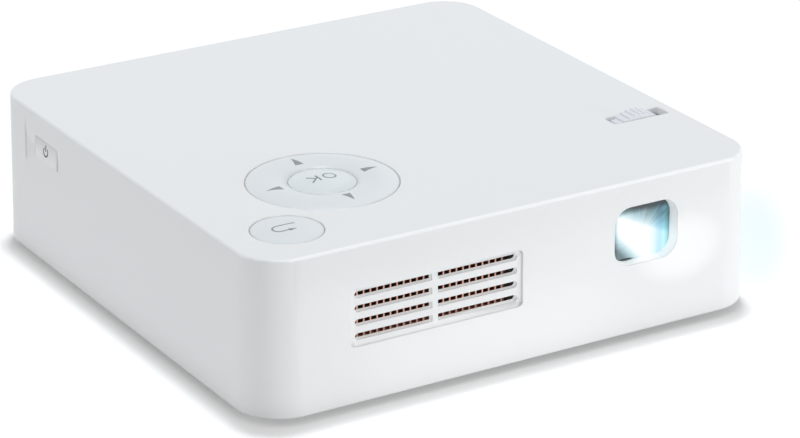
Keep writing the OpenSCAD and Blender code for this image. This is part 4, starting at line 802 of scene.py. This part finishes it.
def contact(name, middle, width):
    """A thin strip of plated metal with a rounded nose, lying on a socket's tongue."""
    bpy.ops.object.select_all(action="DESELECT")
    bpy.ops.mesh.primitive_cube_add(size=1, location=(0, 0, 0))
    piece = named(name)
    edit(piece)
    size = (width * MM, STRIP_LENGTH * MM, STRIP * MM)
    bpy.ops.transform.resize(value=size, center_override=(0, 0, 0))
    bpy.ops.mesh.bevel(offset=STRIP * 0.45 * MM, segments=2, affect="EDGES")
    bpy.ops.transform.translate(value=middle)
    bpy.ops.mesh.normals_make_consistent(inside=False)
    bpy.ops.object.mode_set(mode="OBJECT")
    smooth(piece, 30)
    wear(piece, plating, "base")


def contacts(socket, sides, places, width):
    """A row of contacts on a tongue's lower face, or on both faces, at places across it."""
    low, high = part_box(socket)
    lower_face, thick = TONGUES[socket][:2]
    for level, face in enumerate((lower_face, lower_face + thick)[:sides]):
        for i, place in enumerate(places):
            across = (low.x + high.x) / 2 + place * MM
            middle = (across, high.y - STRIP_INSET * MM, low.z + face * MM)
            contact("%s_contact_%d_%d" % (socket, level, i), middle, width)


contacts("hdmi_socket", 2, [i - 4.5 for i in range(10)], 0.5)
contacts("usb_socket", 1, (-3.5, -1.0, 1.0, 3.5), 1.0)


# ---- floor ----

FLOOR_SHADE = 0.97
FLOOR_WHITE = 0.2  # light that makes the floor plain white to the camera
FAR_WHITE = 0.6  # the same towards the horizon
SPILL_PLACE = (0.096, -0.036)  # middle of the lens's light painted on the floor, in metres
SPILL_RUN = (-0.594, -0.805)  # the way that it lies
SPILL_SIZE = (0.05, 0.0125)  # its half length and half width, in metres


def paper():
    """White paper, with the lens's blue light painted beside the part."""
    f = Finish("white_paper_floor", Roughness=0.9, Specular_IOR_Level=0.0)
    x, y, z = f.axes()
    dx, dy = x - SPILL_PLACE[0], y - SPILL_PLACE[1]
    along = dx * SPILL_RUN[0] + dy * SPILL_RUN[1]
    across = dx * -SPILL_RUN[1] + dy * SPILL_RUN[0]
    beside = x.over(RIGHT * MM, (RIGHT + 4.5) * MM)
    spill = spot(along, across, *SPILL_SIZE) * beside
    far = (x * x + y * y).over(0.16, 1.5)
    plain = rgb(FLOOR_SHADE, FLOOR_SHADE, FLOOR_SHADE)
    f.set("Base Color", f.blend(spill, plain, rgb(0.842, 0.897, 0.95)))
    light = f.node(
        "ShaderNodeEmission",
        {},
        {
            "Color": f.blend(spill, rgb(1, 1, 1), rgb(0.6, 0.7, 1)),
            "Strength": f.on_show() * FLOOR_WHITE + f.ray("Camera") * far * FAR_WHITE,
        },
    )
    total = f.node("ShaderNodeAddShader", {}, {0: Value(f, f.shader.outputs[0]), 1: light})
    f.feed(f.out.inputs["Surface"], total)
    return f


bpy.ops.object.select_all(action="DESELECT")
bpy.ops.mesh.primitive_plane_add(size=8, location=(0, 0, 0))
floor = named("floor")
floor.data.materials.append(paper().material)


# ---- light ----

DOME = 0.39  # the world's light on the object, where the camera sees 1

world = bpy.data.worlds.new("studio")
bpy.context.scene.world = world
world.use_nodes = True
studio = Graph(world.node_tree)
sky = studio.tree.nodes["Background"]
studio.feed(sky.inputs["Color"], rgb(1, 1, 1))
studio.feed(sky.inputs["Strength"], studio.on_show() * (1 - DOME) + DOME)


def soft_box(name, place, aim, width, height, watts, colour=(1, 1, 1)):
    """A rectangular lamp at a place in metres, turned to a point."""
    lamp = bpy.data.lights.new(name, "AREA")
    lamp.shape = "RECTANGLE"
    lamp.size = width
    lamp.size_y = height
    lamp.energy = watts
    lamp.color = colour
    holder = bpy.data.objects.new(name, lamp)
    holder.location = place
    turn = Vector(place) - Vector(aim)
    holder.rotation_euler = turn.to_track_quat("Z", "Y").to_euler()
    bpy.context.scene.collection.objects.link(holder)


centre = (0, 0, 0.02)
soft_box("key_overhead", (0.07, 0.11, 1.25), centre, 0.13, 0.13, 7.2, (0.95, 1.0, 1.035))
soft_box("fill_front_right", (0.5, -0.75, 0.07), (0.06, 0, 0.02), 0.35, 0.1, 2.9)
soft_box("fill_left", (-1.1, 0.15, 0.09), centre, 0.35, 0.12, 1.13)


# ---- camera, as solved from the part's straight edges, corner arcs and key circles ----

CAMERA_AIM = (-3.018, -20.557, 21.586)
CAMERA_SIDE = (-0.4776, -0.7924, 0.3795)  # the way from the aim to the camera
CAMERA_DISTANCE = 0.85999  # in metres
FOCAL_LENGTH = 154.42
SENSOR_WIDTH = 36

camera_data = bpy.data.cameras.new("photo_camera")
camera = bpy.data.objects.new("photo_camera", camera_data)
bpy.context.scene.collection.objects.link(camera)
bpy.context.scene.camera = camera
camera_data.lens = FOCAL_LENGTH
camera_data.sensor_width = SENSOR_WIDTH
camera_data.clip_end = 20
away = Vector(CAMERA_SIDE).normalized()
camera.location = Vector(CAMERA_AIM) * MM + away * CAMERA_DISTANCE
camera.rotation_euler = away.to_track_quat("Z", "Y").to_euler()

bpy.context.scene.view_settings.view_transform = "Standard"
